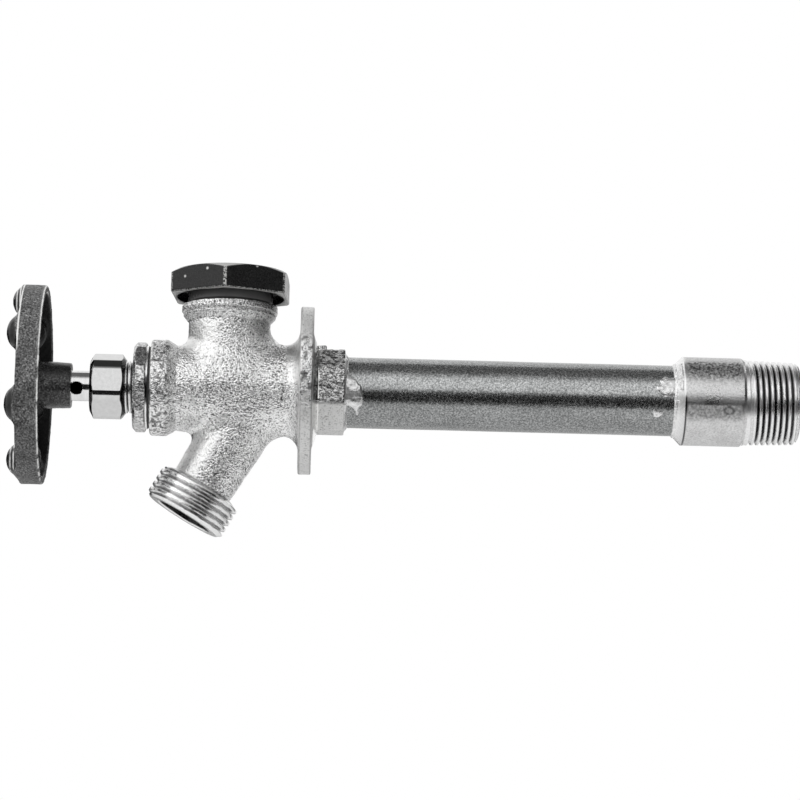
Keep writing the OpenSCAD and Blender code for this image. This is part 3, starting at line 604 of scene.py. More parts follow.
def cap_paint():
    """Glossy black with chipped corners and a few chips on the flats, a painted highlight on the rim
    underneath and on the top chamfer, and painted light on the skirt.
    """
    p = Paint("black_cap", metallic=0.0)
    p.shader.inputs["Specular IOR Level"].default_value = 0.3
    grainy = p.noise(0.5, 2.0)
    black = p.bands(grainy, (0.3, 0.004), (0.68, 0.014))
    black = p.mix("dust", black, 0.10)
    black = p.mix("bare", black, (0.46, 0.46, 0.45))
    chips = p.bands(p.noise(0.42, 2.0), (0.46, 0.0), (0.56, 1.0))
    chips = p.times("wear", chips)
    spots = p.times(p.dots(6.5, 0.42), "flat")
    chips = p.mix(1.0, chips, spots, "LIGHTEN")
    p.colour(p.mix(chips, black, (0.50, 0.50, 0.49)))
    p.rough(p.vary(p.noise(4, 3.0), 0.2, 0.3))
    p.bump(grainy, 0.02, 0.5)
    return p.material


DARK_BRASS, LIGHT_BRASS = (0.52, 0.36, 0.14), (0.78, 0.58, 0.27)
PAINT = {
    "handle_paint": wheel_paint(),
    "screw_steel": mottled("screw_steel", 0.42, 0.66, 0.8, (0.22, 0.34), 0.02),
    "stem_metal": stem_paint(),
    "rod_brass": mottled("rod_brass", DARK_BRASS, LIGHT_BRASS, 1.5, (0.2, 0.32), 0.02),
    "polished_nut": nut_paint(),
    "packing": mottled("packing", 0.02, 0.06, 0.6, (0.6, 0.8), 0.08, metallic=0.0),
    "plated_bonnet": mottled("plated_bonnet", 0.06, 1.0, 0.85, (0.14, 0.26), 0.3),
    "seal_rubber": mottled("seal_rubber", 0.012, 0.03, 0.7, (0.5, 0.7), 0.04, metallic=0.0),
    "plated_casting": casting_paint(),
    "black_cap": cap_paint(),
    "white_plastic": mottled("white_plastic", 0.7, 0.84, 1.5, (0.35, 0.5), 0.02, metallic=0.0),
    "tinned_tube": tube_paint(),
    "solder": mottled("solder", 0.66, 0.97, 0.8, (0.24, 0.42), 0.3),
    "plated_inlet": inlet_paint(),
    "cut_thread": thread_paint(),
}

slots = {part["node"]: part["material_slot"] for part in frame["record"]["subparts"]}
for node, node_object in frame["nodes"].items():
    node_object.data.materials.clear()
    node_object.data.materials.append(PAINT[slots[node]])


# Valve body

BARREL_OUTLINE = [
    (-49.9, FAR), (-49.9, 14.2), (-45.8, 14.2), (-42.7, 12.4), (-33.5, 13.5), (-1, 13.5), (-1, FAR),
]
TOWER_OUTLINE = [
    (0, FAR), (0, 12.45), (21.2, 12.45), (23.2, 14.2), (23.35, 13.75), (24.35, 13.75), (24.5, 14.65),
    (26.15, 14.65), (26.15, FAR),
]
SPOUT_OUTLINE = [(0, FAR), (0, 10.1), (14, 10.1), (34.6, 9.3), (39.0, 9.3), (39.0, FAR)]
BARREL_EDGE, TOWER_EDGE, SPOUT_EDGE = 0.8, 0.35, 0.5
BONNET_SEAT_X, BONNET_BORE_R = -37, 11.05
TUBE_SEAT_X, TUBE_SOCKET_R = -2.5, 11.15
BARREL_BORE_R, SPOUT_BORE_R = 10.0, 6.5
FLOAT_SEAT_Z, FLOAT_WAY_R = 13, 6.6
CAP_SEAT_Z, CHAMBER_R, CAP_BORE_R = 18.5, 10.0, 10.8
FLANGE_SCREW_Y, FLANGE_SCREW_R = 25.4, 2.8
FLANGE_R, FLANGE_STRAIGHT = 24.6, 10.4
FLANGE_FRONT_X, FLANGE_DRAFT, FLANGE_DRAFT_R = -4.35, 0.018, 14
FLANGE_EDGE, FLANGE_FILLET, SPOUT_FILLET = 0.55, 4.7, 3.7
COLLAR_RING_R, COLLAR_FLATS_R, COLLAR_CORNER_R = 13.8, 12.95, 13.7
COLLAR_START_X, COLLAR_END_X = 1.5, 10.0
COLLAR_EDGE = 0.3
# How near to the outside or a bore a point counts as lying on it
SKIN = 0.05


def water_ways(p):
    """Distance field of the bores inside the casting."""
    x, y, z = p.T
    bore = np.where(x < TUBE_SEAT_X, BARREL_BORE_R, TUBE_SOCKET_R)
    bore = np.where(x < BONNET_SEAT_X, BONNET_BORE_R, bore)
    ways = np.hypot(y, z) - bore
    up, tower_r = local_to(p, TOWER)
    chamber = np.where(up < FLOAT_SEAT_Z, FLOAT_WAY_R, np.where(up < CAP_SEAT_Z, CHAMBER_R, CAP_BORE_R))
    ways = np.minimum(ways, np.maximum(tower_r - chamber, -up))
    down, spout_r = local_to(p, SPOUT)
    ways = np.minimum(ways, np.maximum(spout_r - SPOUT_BORE_R, -down))
    screw = np.hypot(np.abs(y) - FLANGE_SCREW_Y, z) - FLANGE_SCREW_R
    return np.minimum(ways, screw)


def casting_outside(p):
    """Distance field of the casting's outside, with its fillets."""
    x, y, z = p.T
    r = np.hypot(y, z)
    barrel = outline_distance(x, r, BARREL_OUTLINE) - BARREL_EDGE
    disc = np.hypot(np.maximum(np.abs(y) - FLANGE_STRAIGHT, 0), z) - FLANGE_R
    front = FLANGE_FRONT_X + FLANGE_DRAFT * np.maximum(r - FLANGE_DRAFT_R, 0)
    flange = round_meet(disc, span(x, front, 0), FLANGE_EDGE)
    body = round_union(barrel, flange, FLANGE_FILLET)
    up, tower_r = local_to(p, TOWER)
    tower = outline_distance(up, tower_r, TOWER_OUTLINE) - TOWER_EDGE
    tower_fillet = 3 + 2.5 * ramp(x, -36, -18)
    body = round_union(body, tower, tower_fillet)
    down, spout_r = local_to(p, SPOUT)
    spout = outline_distance(down, spout_r, SPOUT_OUTLINE) - SPOUT_EDGE
    body = round_union(body, spout, SPOUT_FILLET)
    ring = np.maximum(r - COLLAR_RING_R, span(x, -1, COLLAR_START_X))
    square, diamond = np.maximum(np.abs(y), np.abs(z)), (np.abs(y) + np.abs(z)) / math.sqrt(2)
    flats = np.maximum(np.maximum(square, diamond) - COLLAR_FLATS_R, r - COLLAR_CORNER_R)
    collar = round_meet(flats, span(x, COLLAR_START_X, COLLAR_END_X), COLLAR_EDGE)
    lug = round_box(p, (2.7, 0, 12), (1.1, 1.6, 2.2), COLLAR_EDGE)
    return np.stack([body, ring, collar, lug]).min(axis=0)


def casting(p):
    """Distance field of the whole casting."""
    return np.maximum(casting_outside(p), -water_ways(p))


def casting_masks(points):
    """The places that finish and painted shade follow: flange rim, collar, and all but the collar's lowest
    flat.
    """
    x, y, z = points.T
    rim = ramp(x, -4.8, -4.2) * ramp(np.hypot(y, z), 16, 18)
    collar = ramp(x, 1.6, 2.0)
    upper_flats = ramp(z, -5.7, -4.9)
    return rim, collar, upper_flats


def casting_finish(points, normal, outside):
    """How sandy and how satin the casting is. What faces left is smoother and paler, a painted highlight;
    the rim's ends are smoother too.
    """
    x, _, z = points.T
    left = -normal[:, 0]
    rim, collar, upper_flats = casting_masks(points)
    rim_ends = ramp(np.abs(z), 7, 13)
    smooth = fall(z, 19, 21.5) * (1 - 0.8 * ramp(x, -15, -11) * fall(z, -2, 2))
    smooth = smooth * (1 - 0.6 * near(z, -12, 3, 6) * fall(x, -27, -22))
    sand = window(x, -50.6, -50.0, -0.6, -0.1) * fall(z, 25.9, 26.4)
    # Painted highlight: faces that turn left get less sand, so they are paler and without pits.
    sand = sand * (1 - 0.55 * ramp(left, 0.06, 0.4) * smooth) * (1 - 0.6 * rim * rim_ends)
    flats = window(x, 1.8, 2.2, 9.4, 9.8) * (0.5 + 0.5 * upper_flats)
    sand = np.where(x > 0.1, flats, sand) * outside
    satin = rim * (0.4 + 0.6 * rim_ends) + collar * (1 - upper_flats)
    satin = np.maximum(satin, 0.4 * ramp(left, 0.05, 0.3) * outside * (x < -4) * smooth)
    return sand, np.clip(satin, 0, 1)


def casting_soot(points, normal, outside):
    """How dark the casting is: holes left by sand, painted shade in the bores, on the collar, on the rim
    and in shaded corners, and dark blotches on the rim.
    """
    x, _, z = points.T
    rim, on_collar, upper_flats = casting_masks(points)
    holes = ramp(grain(points, 0.8, 31), 0.05, 0.4)
    # Painted shade on every bore surface.
    bores = 0.8 * (np.abs(water_ways(points)) < SKIN)
    # The collar: a little darker all over, dark sand holes, and painted shade on faces that turn up; its
    # lowest flat is only evenly darkened.
    collar = 0.10 + 0.24 * ramp(normal[:, 2], 0.4, 0.6) + 0.6 * holes
    collar = on_collar * (0.2 + (collar - 0.2) * upper_flats)
    # Painted shadow in the gap between the flange and the collar, above its bottom.
    ring = 0.65 * (x > 0.05) * (x < 1.6) * ramp(z, -6.2, -5.6)
    # Painted shade on upper faces that turn towards +X, on the tower's right side.
    shade = 0.42 * ramp(normal[:, 0], 0.4, 0.8) * ramp(z, 8, 12) * fall(x, -10, -8)
    boss = 0.7 * holes * fall(x, -45.5, -43) * outside
    # Painted shade: dark lines along the rim's front and back edges, stronger below the middle.
    edges = near(x, -3.85, 0.1, 0.45) + near(x, -0.2, 0.1, 0.45)
    edges = 0.5 * edges * (0.3 + 0.7 * fall(z, -4, 4))
    # Dark blotches round the rim's middle height.
    blotches = 0.75 * ramp(grain(points, 1.15, 33), 0.12, 0.5) * near(z, 3, 7, 13)
    # The rim darker towards the bottom.
    lower = 0.2 * fall(z, -13, -7)
    rim_side = rim * ramp(1 - np.abs(normal[:, 0]), 0.1, 0.3)
    rim_soot = rim_side * np.stack([edges, blotches, lower]).max(axis=0)
    soot = np.stack([bores, collar, ring, shade, boss, rim_soot]).max(axis=0)
    down, spout_r = local_to(points, SPOUT)
    # Painted shade inside the spout's mouth.
    mouth = (down > 36) & (spout_r < 9.3)
    return np.where(mouth, 1.0, np.clip(soot, 0, 1))


def body_casting():
    """The sand casting, with the grain of the sand on its outside only."""
    points, faces = surface(casting, (-52.5, -36.5, -40.72), (11.5, 36.5, 28), 0.34)
    normal, _ = slope_at(casting, points)
    outside = np.abs(casting_outside(points)) < SKIN
    sand, satin = casting_finish(points, normal, outside)
    height = 0.09 * grain(points, 0.95, 1) + 0.06 * grain(points, 1.7, 2) + 0.10 * grain(points, 6, 3)
    raised = points + normal * (height * sand)[:, None]
    obj = add_piece("body_casting", raised, faces, "tap_body", "plated_casting", ("valve_body",),
        sharp=0, tidy=False)
    set_layers(obj, sand=sand, soot=casting_soot(points, normal, outside), satin=satin)


HOSE_R, HOSE_PITCH, HOSE_DEPTH = 13.5, 2.209, 1.05
HOSE_START, HOSE_ROOT_R = 35.1, 9.4
SPOUT_END, MOUTH_R, MOUTH_FLOOR = 46.65, 8.9, 38.65


def hose_thread():
    """The machined hose thread and mouth at the end of the spout."""
    lip, lip_r = 46.3, 12.6
    theta = turn_angles(200)
    rows = rounded([(MOUTH_FLOOR, HOSE_ROOT_R), (MOUTH_FLOOR, MOUTH_R), (SPOUT_END, MOUTH_R, 0.5),
        (SPOUT_END, 12.2, 0.3), (lip, lip_r)])
    for s in np.arange(46.2, HOSE_START, -0.11):
        r = HOSE_R - thread(s, theta, HOSE_PITCH, HOSE_DEPTH, 0.36)
        r = soft_min(r, lip_r + (lip - s) * 1.4, 0.3)
        r = soft_min(r, 9.8 + np.maximum(s - 35.15, 0) * 2.3, 0.3)
        rows.append((s, r))
    rows.append((HOSE_START, HOSE_ROOT_R))
    obj = turned_piece("hose_thread", rows, theta, "plated_casting", SPOUT, paint="cut_thread", sharp=40)
    s, r = local_to(vertex_places(obj), SPOUT)
    # Painted shade in the thread's roots and inside the mouth.
    roots = 0.55 * ramp(HOSE_R - r, 0.8, HOSE_DEPTH) * ramp(r, 10.6, 11.2) * fall(s, 45.8, 46.2)
    mouth = fall(r, 9.0, 9.3) * fall(s, 46.0, 46.5)
    set_layers(obj, dirt=np.maximum(roots, mouth))


# Bonnet and packing nut


def hex_piece(name, flats, turn, corner, front, back, bore, front_cone, back_cone, land, **rest):
    """A hexagon along the barrel axis. A cone is the radius it starts at and its slope."""
    turn = math.radians(180 - turn)
    theta = hex_angles(flats, turn, corner, 90, 8)
    outside = soft_min(hex_radius(theta, flats, turn, corner), land, 0.06)
    cone_length, lip = 3, 0.2
    middle = front + cone_length
    cuts = np.concatenate([np.arange(front, middle, 0.1), np.arange(middle, back - cone_length, 0.6),
        np.arange(max(back - cone_length, middle), back, 0.1), [back]])
    rows = [(back - 1, bore), (front + lip, bore), (front, bore + lip)]
    for x in cuts:
        front_limit = front_cone[0] + (x - front) * front_cone[1]
        back_limit = back_cone[0] + (back - x) * back_cone[1]
        rows.append((x, soft_min(outside, min(front_limit, back_limit), 0.25)))
    rows.append((back, bore + lip))
    return turned_piece(name, rows, theta, sharp=0, **rest)


def bonnet_hexagon():
    """The bonnet's wrench hexagon."""
    hex_piece("bonnet_hexagon", flats=26.9, turn=7, corner=0.5, front=-56.0, back=-52.0, bore=8.0,
        front_cone=(12.9, 1.2), back_cone=(13.6, 1.5), land=14.1,
        slot="plated_bonnet", nodes=("bonnet",))


def packing_nut():
    """The polished nut, with painted shade on its rear cone and a painted dark reflection along its upper
    corner.
    """
    back, cone_r, slope = -58.4, 8.4, 1.4
    obj = hex_piece("packing_nut_polished", flats=19.05, turn=-25, corner=0.4, front=-69.6, back=back,
        bore=5.1, front_cone=(7.9, 1.9), back_cone=(cone_r, slope), land=10.25,
        slot="polished_nut", nodes=("packing_nut",))
    places = vertex_places(obj)
    x, r = local_to(places, BARREL)
    # Painted shade on the rear cone, and a painted dark reflection along the upper corner.
    cone = 0.9 * ramp(r - cone_r - (back - x) * slope, -0.3, -0.12)
    corner = 0.75 * ramp(r, 10.05, 10.2) * near(clock_of(places), 35, 12, 16)
    set_layers(obj, soot=np.maximum(cone, corner))


def bonnet_neck():
    """The threaded neck that the packing nut screws on to."""
    front, back, outer_r, inner_r = -66.0, -55.9, 8.25, 6.8
    pitch, depth = 1.27, 0.65
    theta = turn_angles(128)
    rows = [(back, inner_r), (front, inner_r)]
    rows += [(x, outer_r - thread(x, theta, pitch, depth, 0.25)) for x in np.arange(front, back, 0.08)]
    obj = turned_piece("bonnet_neck", rows, theta, "plated_bonnet", paint="cut_thread", sharp=45)
    _, r = local_to(vertex_places(obj), BARREL)
    # Painted shade in the thread's roots.
    set_layers(obj, dirt=ramp(outer_r - r, 0.4, depth))


def bonnet_face():
    """The turned washer face between the bonnet's hexagon and its gasket."""
    front, back, outer_r, inner_r = -52.1, -51.4, 13.1, 8.0
    rows = rounded([(front, inner_r), (front, outer_r, 0.1), (back, outer_r, 0.15), (back, inner_r)])
    obj = turned_piece("bonnet_face", rows, turn_angles(160), "plated_bonnet", paint="cut_thread")
    # Painted shadow over the front of the face, mostly below its middle.
    set_layers(obj, dirt=0.95 * window(clock_of(vertex_places(obj)), -36, -28, 4, 10))


# Stem and handle screw

SHANK_EDGE = 0.3
SHANK_R = STEM_R - SHANK_EDGE
SHANK_OUTLINE = [(-76.2, FAR), (-76.2, SHANK_R), (-26.8, SHANK_R), (-26.8, FAR)]
SCREW_R, SCREW_PITCH, SCREW_DEPTH = 6, 2.5, 0.8
HOLE_X, HOLE_R = -73.8, 2.0
HOLE_TURN = math.radians(-19)


def turned_by(angle, y, z):
    """Distance along and across a direction that is turned by an angle."""
    return y * math.cos(angle) + z * math.sin(angle), z * math.cos(angle) - y * math.sin(angle)


def threaded_stem(p):
    """Distance field of the spindle: square end, shank with a blind cross hole, operating thread."""
    x, y, z = p.T
    r = np.hypot(y, z)
    shank = outline_distance(x, r, SHANK_OUTLINE) - SHANK_EDGE
    cut = thread(x, np.arctan2(z, y), SCREW_PITCH, SCREW_DEPTH)
    screw = np.maximum(r - SCREW_R + cut, span(x, -45.5, -35.5))
    u, v = turned_by(WHEEL_TURN, y, z)
    square = np.maximum(np.abs(u), np.abs(v)) - 3.3
    square = np.maximum(square, np.maximum(r - STEM_R, span(x, -86.9, -75.1)))
    body = np.minimum(np.minimum(shank, screw), square)
    facing, side = turned_by(HOLE_TURN, -y, z)
    hole = np.maximum(np.hypot(x - HOLE_X, side) - HOLE_R, -facing)
    return np.maximum(body, -hole)


def stem():
    """The turned spindle, with painted shade that makes it black inside its cross hole."""
    points, faces = surface(threaded_stem, (-88, -6.6, -6.6), (-26, 6.6, 6.6), 0.25)
    obj = add_piece("stem_turned", points, faces, "spindle", "stem_metal", ("stem",), tidy=False)
    x, y, z = points.T
    facing, side = turned_by(HOLE_TURN, -y, z)
    # Painted shade inside the cross hole.
    deep = ramp(4.62 - np.hypot(y, z), 0.0, 0.25) * (facing > -0.2)
    set_layers(obj, soot=deep * (np.hypot(x - HOLE_X, side) < HOLE_R + 0.2))


def cross_head(p):
    """Distance field of the handle screw, with a cross recess in its domed head."""
    x, y, z = p.T
    r = np.hypot(y, z)
    head_height, head_r = 2.4, 4.0
    shank_r, shank_middle, shank_half = 1.95, -84.7, 5.7
    past_hub = x - HUB_FRONT_X
    dome = (np.hypot(past_hub / head_height, r / head_r) - 1) * head_height
    head = np.maximum(dome, past_hub)
    body = np.minimum(head, np.maximum(r - shank_r, np.abs(x - shank_middle) - shank_half))
    deep = np.maximum(x + 92.4, 0)
    long, short = np.maximum(np.abs(y), np.abs(z)), np.minimum(np.abs(y), np.abs(z))
    recess = np.maximum(np.maximum(long - 2.3 + 0.7 * deep, short - 0.6 + 0.12 * deep), x + 90.9)
    return np.maximum(body, -recess)


def handle_screw():
    """The screw that holds the wheel on the stem."""
    points, faces = surface(cross_head, (-93, -4.4, -4.4), (-78.6, 4.4, 4.4), 0.2)
    add_piece("handle_screw_head", points, faces, "spindle", "screw_steel", ("handle_screw",),
        tidy=False)


# Vacuum-breaker cap

# Width across flats, turn and corner radius
CAP_HEXAGON = (35.7, math.radians(26), 1.3)
CAP_TOP, CAP_BASE = 37.0, 29.0
CAP_UNDERSIDE = [
    (CAP_BASE, 17.2), (CAP_BASE, 16.8, 0.4), (32.5, 16.8, 0.5), (32.5, 13.35, 0.4), (27.1, 13.35, 0.3),
    (27.1, 10.75), (19.5, 10.75, 0.4), (19.5, 5.5, 0.4), (21.5, 5.5), (21.5, 8.0), (32.5, 8.0), (32.5, 0.0),
]


def cap_chamfer(z):
    """Radius of the cone that cuts the hexagon's top corners."""
    return 17.65 + (CAP_TOP - z) * 1.75


def black_cap():
    """Hexagon cap with rounded edges, a chamfered top and the vent recess underneath."""
    theta = hex_angles(*CAP_HEXAGON, 34, 12)
    outside = hex_radius(theta, *CAP_HEXAGON)
    chamfer_end, base_edge = CAP_TOP - 3, 0.7
    rows = [(CAP_TOP, 0.0), (CAP_TOP, 15.0), (CAP_TOP, 17.5)]
    heights = [np.arange(CAP_TOP - 0.05, chamfer_end, -0.1), np.arange(chamfer_end, CAP_BASE + 0.8, -0.5)]
    for z in np.concatenate(heights):
        rows.append((z, soft_min(outside, cap_chamfer(z), 0.2)))
    for angle in np.linspace(0, 1, 7) * math.pi / 2:
        z = CAP_BASE + base_edge * (1 - math.sin(angle))
        rows.append((z, outside - base_edge * (1 - math.cos(angle))))
    rows += rounded(CAP_UNDERSIDE)[1:]
    obj = turned_piece("cap_hexagon", rows, theta, "black_cap", TOWER, closed=False,
        nodes=("vacuum_breaker_cap",), sharp=0)
    cap_layers(obj)


def cap_layers(obj):
    """Chipped corners and base edge, the flats that have chips, a painted highlight on the chamfer and on
    the rim underneath, and painted light on the skirt.
    """
    places = vertex_places(obj)
    z, r = local_to(places, TOWER)
    x, y, _ = (places - TOWER[0]).T
    above_base = z - CAP_BASE
    corners = 0.7 * ramp(r, 20.24, 20.38) * ramp(above_base, -0.1, 0.2)
    rim = 0.6 * ramp(r, 17.2, 17.6) * near(above_base, 0.3, 0.1, 0.22)
    # Painted highlight on the top chamfer, strongest on the near side.
    worn = 0.1 + 0.5 * near(np.degrees(np.arctan2(y, x)), -94, 12, 22)
    chamfer = worn * near(r, cap_chamfer(z), 0.1, 0.2) * ramp(CAP_TOP - z, 0.1, 0.3)
    # Painted highlight on the rim underneath.
    under = ramp(r, 17.0, 17.6) * fall(above_base, 0.02, 0.12)
    flats = window(z, CAP_BASE + 0.8, CAP_BASE + 1.2, CAP_TOP - 0.8, CAP_TOP)
    # Painted light on the skirt, in the shade under the hexagon.
    skirt = (r > 13.2) * (r < 13.5) * (z < 32)
    set_layers(obj, wear=np.maximum(corners, rim), bare=np.maximum(under, chamfer),
        flat=ramp(r, 17.5, 17.8) * flats, dust=skirt)


# Barrel tube and solder


def barrel_tube():
    """The long drawn tube, very slightly uneven as drawn tube is."""
    theta = turn_angles(192)
    along = np.concatenate([[-2.48], np.arange(-2.4, TUBE_END_X, 1.2), [126.18]])
    even = rings(along[:, None], TUBE_R, theta, BARREL)
    wave = 0.02 * grain(even * np.array([0.3, 1, 1]), 6, 11)
    rows = list(zip(along, TUBE_R + wave)) + [(x, TUBE_BORE_R) for x in along[::-1]]
    obj = turned_piece("tube_drawn", rows, theta, "tinned_tube", nodes=("barrel_tube",))
    x, _, z = vertex_places(obj).T
    # Painted shade underneath and near the casting, and a painted dark reflection along the top.
    bottom, front, top = fall(z, -6.0, -3.5), 0.8 * fall(x, 10.5, 16), 0.55 * ramp(z, 8.3, 9.3)
    set_layers(obj, under=np.stack([bottom, front, top]).max(axis=0))


def solder(name, low, high, height, node):
    """Solder on the tube. Height gives its thickness at a place and clock angle."""
    inner_r = 10.8
    theta = turn_angles(240)
    along = np.arange(low, high, 0.12)
    clock = (math.pi - theta + math.pi) % TAU - math.pi
    on_tube = rings(along[:, None], TUBE_R, theta, BARREL)
    thick = height(along[:, None], np.degrees(clock), on_tube)
    thick = thick + 0.10 * grain(on_tube, 1.1, 7) * (thick > 0)
    rows = list(zip(along, TUBE_R + thick)) + [(high, inner_r), (low, inner_r)]
    turned_piece(name, rows, theta, "solder", nodes=(node,), sharp=0)


# Where solder lies below the tube's surface, so that none shows
NO_SOLDER = -0.15
# The run beside the collar, as places along the tube and round it
RUN_OUTLINE = [
    (9.0, 4.6), (11.0, 4.2), (13.6, 2.6), (15.2, 0.6), (15.9, -2.0), (15.6, -5.4), (14.9, -7.6),
    (14.0, -9.6), (13.3, -8.6), (12.2, -7.0), (10.6, -6.0), (9.0, -5.6),
]


def front_solder(x, clock, points):
    """A ring against the collar, and a run of solder that spread down the near side."""
    ring = 1.45 * (1 - ramp(x, 9.9, 11.2 + 0.5 * grain(points, 2.0, 9)))
    flat_x, flat_y = np.broadcast_arrays(x, np.radians(clock) * TUBE_R)
    inside = -outline_distance(flat_x.ravel(), flat_y.ravel(), RUN_OUTLINE).reshape(flat_x.shape)
    inside = inside + 0.45 * grain(points, 1.6, 5)
    run = 0.8 * ramp(inside, 0, 0.9) + 0.25 * ramp(inside, 0.8, 2.4)
    return np.maximum(ring, run) + NO_SOLDER


def rear_solder(x, clock, points):
    """A thin ring in front of the inlet sleeve, a smear above it, a fleck, and lumps on the lead-in."""
    ring = 0.75 * ramp(x, 112.4, 113.6)
    rough = 0.8 * grain(points, 1.8, 6)
    smear = 4.0 - np.hypot((113.0 - x) / 1.7, (clock - 14) / 5.2) + rough
    fleck = 2.2 - np.hypot((107.4 - x) / 0.9, (clock + 31) / 4.4) + rough * 1.3
    run = np.maximum(0.4 * ramp(smear, 0, 1.4), 0.34 * ramp(fleck, 0, 1.2))
    lead_in, lead_in_height, lead_in_slope = 113.5, 0.45, 1.023
    wash = window(clock, -34, -26, 48, 62)
    lumps = 0.55 * ramp(grain(points, 1.0, 8) + 0.35 * ramp(clock, 0, 12), -0.1, 0.5) * wash
    cone = lead_in_height + (x - lead_in) * lead_in_slope
    over = np.where(x > lead_in, (cone + lumps - 0.1) * fall(x, 115.2, 115.7), 0)
    return np.maximum(np.maximum(ring, run), over) + NO_SOLDER


# Inlet

SLEEVE_R, SLEEVE_START_X, SLEEVE_END_X = 13.95, 113.7, 134.4
PIPE_PITCH, PIPE_DEPTH = 1.814, 1.2
INLET_END_X = 152.4


def pipe_crest(x):
    """Radius of the tapered thread's crest."""
    return 13.42 - (x - 136) / 32


def inlet():
    """Sleeve, lead-in and the tapered pipe thread, with the tube socket inside."""
    socket_r, way_r = 8.0, 5.5
    theta = turn_angles(220)
    sleeve = [(TUBE_END_X, 11.15), (SLEEVE_START_X, 11.15), (SLEEVE_START_X, 11.7, 0.15),
        (115.9, SLEEVE_R, 0.25)]
    sleeve += [(x, SLEEVE_R) for x in np.arange(116.3, 134.0, 0.3)]
    rows = rounded(sleeve + [(SLEEVE_END_X, SLEEVE_R, 0.3), (135.3, 13.3)])
    for x in np.arange(135.4, 152.3, 0.09):
        r = pipe_crest(x) - thread(x, theta, PIPE_PITCH, PIPE_DEPTH, 0.24) * ramp(x, 135.5, 138.5)
        rows.append((x, soft_min(r, 11.9 + (INLET_END_X - x) * 1.0, 0.25)))
    rows += rounded([(152.3, 12.0), (INLET_END_X, 11.8, 0.05), (INLET_END_X, socket_r, 0.4),
        (139.7, socket_r), (139.7, way_r), (129.0, way_r), (129.0, 7.0), (131.0, 7.0),
        (131.0, TUBE_BORE_R), (TUBE_END_X, TUBE_BORE_R)])
    obj = turned_piece("inlet_turned", rows, theta, "plated_inlet", nodes=("inlet_fitting",), sharp=40)
    inlet_layers(obj)


def inlet_layers(obj):
    """Painted shade in the thread roots, a seam and a round mark, stains on the sleeve, and what is cut
    bright.
    """
    places = vertex_places(obj)
    x, r = local_to(places, BARREL)
    clock = clock_of(places)
    outer = r > 13
    threaded = ramp(r, 11.3, 11.9) * window(x, 136, 137, 150.8, 151.6)
    # Painted shade in the thread roots.
    roots = ramp(pipe_crest(x) - r, 0.75, 1.1) * threaded
    seam = 0.9 * near(x, 116.15, 0.15, 0.4) * fall(clock, -5, 0) * outer
    mark = 0.6 * near(np.hypot((x - 129.6) / 1.4, (clock + 20) / 4.5), 1, 0.15, 0.4) * outer
    dirt = np.stack([seam, mark, roots]).max(axis=0)
    sleeve = window(x, 116.4, 117.2, 133.2, 134.2) * outer
    stain = window(clock, 12, 30, 51, 57) + 0.5 * window(clock, -40, -26, -13, -10)
    satin = 0.35 * ramp(clock, 12, 30) + window(clock, -38, -26, -15, -12)
    cut = np.maximum(ramp(x, SLEEVE_END_X, 135.6), fall(x, 115.9, 116.4))
    set_layers(obj, dirt=dirt, stain=stain * sleeve, satin=satin * sleeve, cut=cut)


# Handwheel

RIM_OUTLINE = [(-90.3, 21.0), (-90.3, 30.7), (-84.2, 30.7), (-84.2, 29.3), (-89.0, 29.3), (-89.0, 21.0)]
RIM_EDGE, WHEEL_R = 0.5, 31.2
LOBES, SPOKES = 7, 4
LOBE_X, LOBE_RING_R = -89.9, 25.9
LOBE_HEIGHT, LOBE_WIDTH, LOBE_LENGTH = 4.5, 5.7, 5.1
HUB_R, HUB_TAPER = 7.7, 0.65
SCREW_WAY_END_X, SCREW_WAY_R = -87.2, 2.4
STEM_WAY_R = 4.8


def from_arm(y, z, count):
    """Places across and out along the nearest of the arms that repeat round the wheel."""
    r = np.hypot(y, z)
    step = TAU / count
    turn = (np.arctan2(z, -y) - WHEEL_TURN + step / 2) % step - step / 2
    return r * np.sin(turn), r * np.cos(turn)


def wheel(p):
    """Distance field of the handwheel: rim, lobes, spokes and hub."""
    x, y, z = p.T
    r = np.hypot(y, z)
    body = outline_distance(x, r, RIM_OUTLINE) - RIM_EDGE
    across, out = from_arm(y, z, LOBES)
    q = [(x - LOBE_X) / LOBE_HEIGHT, across / LOBE_WIDTH, (out - LOBE_RING_R) / LOBE_LENGTH]
    lobe = (np.linalg.norm(np.stack(q, -1), axis=1) - 1) * 4.2
    body = round_union(body, lobe, 1.6)
    body = np.maximum(body, r - WHEEL_R)
    across, out = from_arm(y, z, SPOKES)
    spoke = round_box(np.stack([x, across, out], -1), (-88.75, 0, 14), (0.75, 3.5, 8.0), 0.5)
    body = round_union(body, spoke, 1.2)
    hub_r = HUB_R - HUB_TAPER * (x - HUB_FRONT_X) / (HUB_BACK_X - HUB_FRONT_X)
    hub = round_meet(r - hub_r, span(x, HUB_FRONT_X, HUB_BACK_X), 0.4)
    body = round_union(body, hub, 1.0)
    dimple = np.sqrt((x + 84.6) ** 2 + (y + 7.7) ** 2 + (z + 0.2) ** 2) - 1.0
    body = np.maximum(body, -dimple)
    return np.maximum(body, -np.where(x < SCREW_WAY_END_X, r - SCREW_WAY_R, r - STEM_WAY_R))


def worn_line(distance, reach, soft):
    """1 on a line that has lost its paint, 0 away from it."""
    return np.clip(reach - distance / soft, 0, 1)


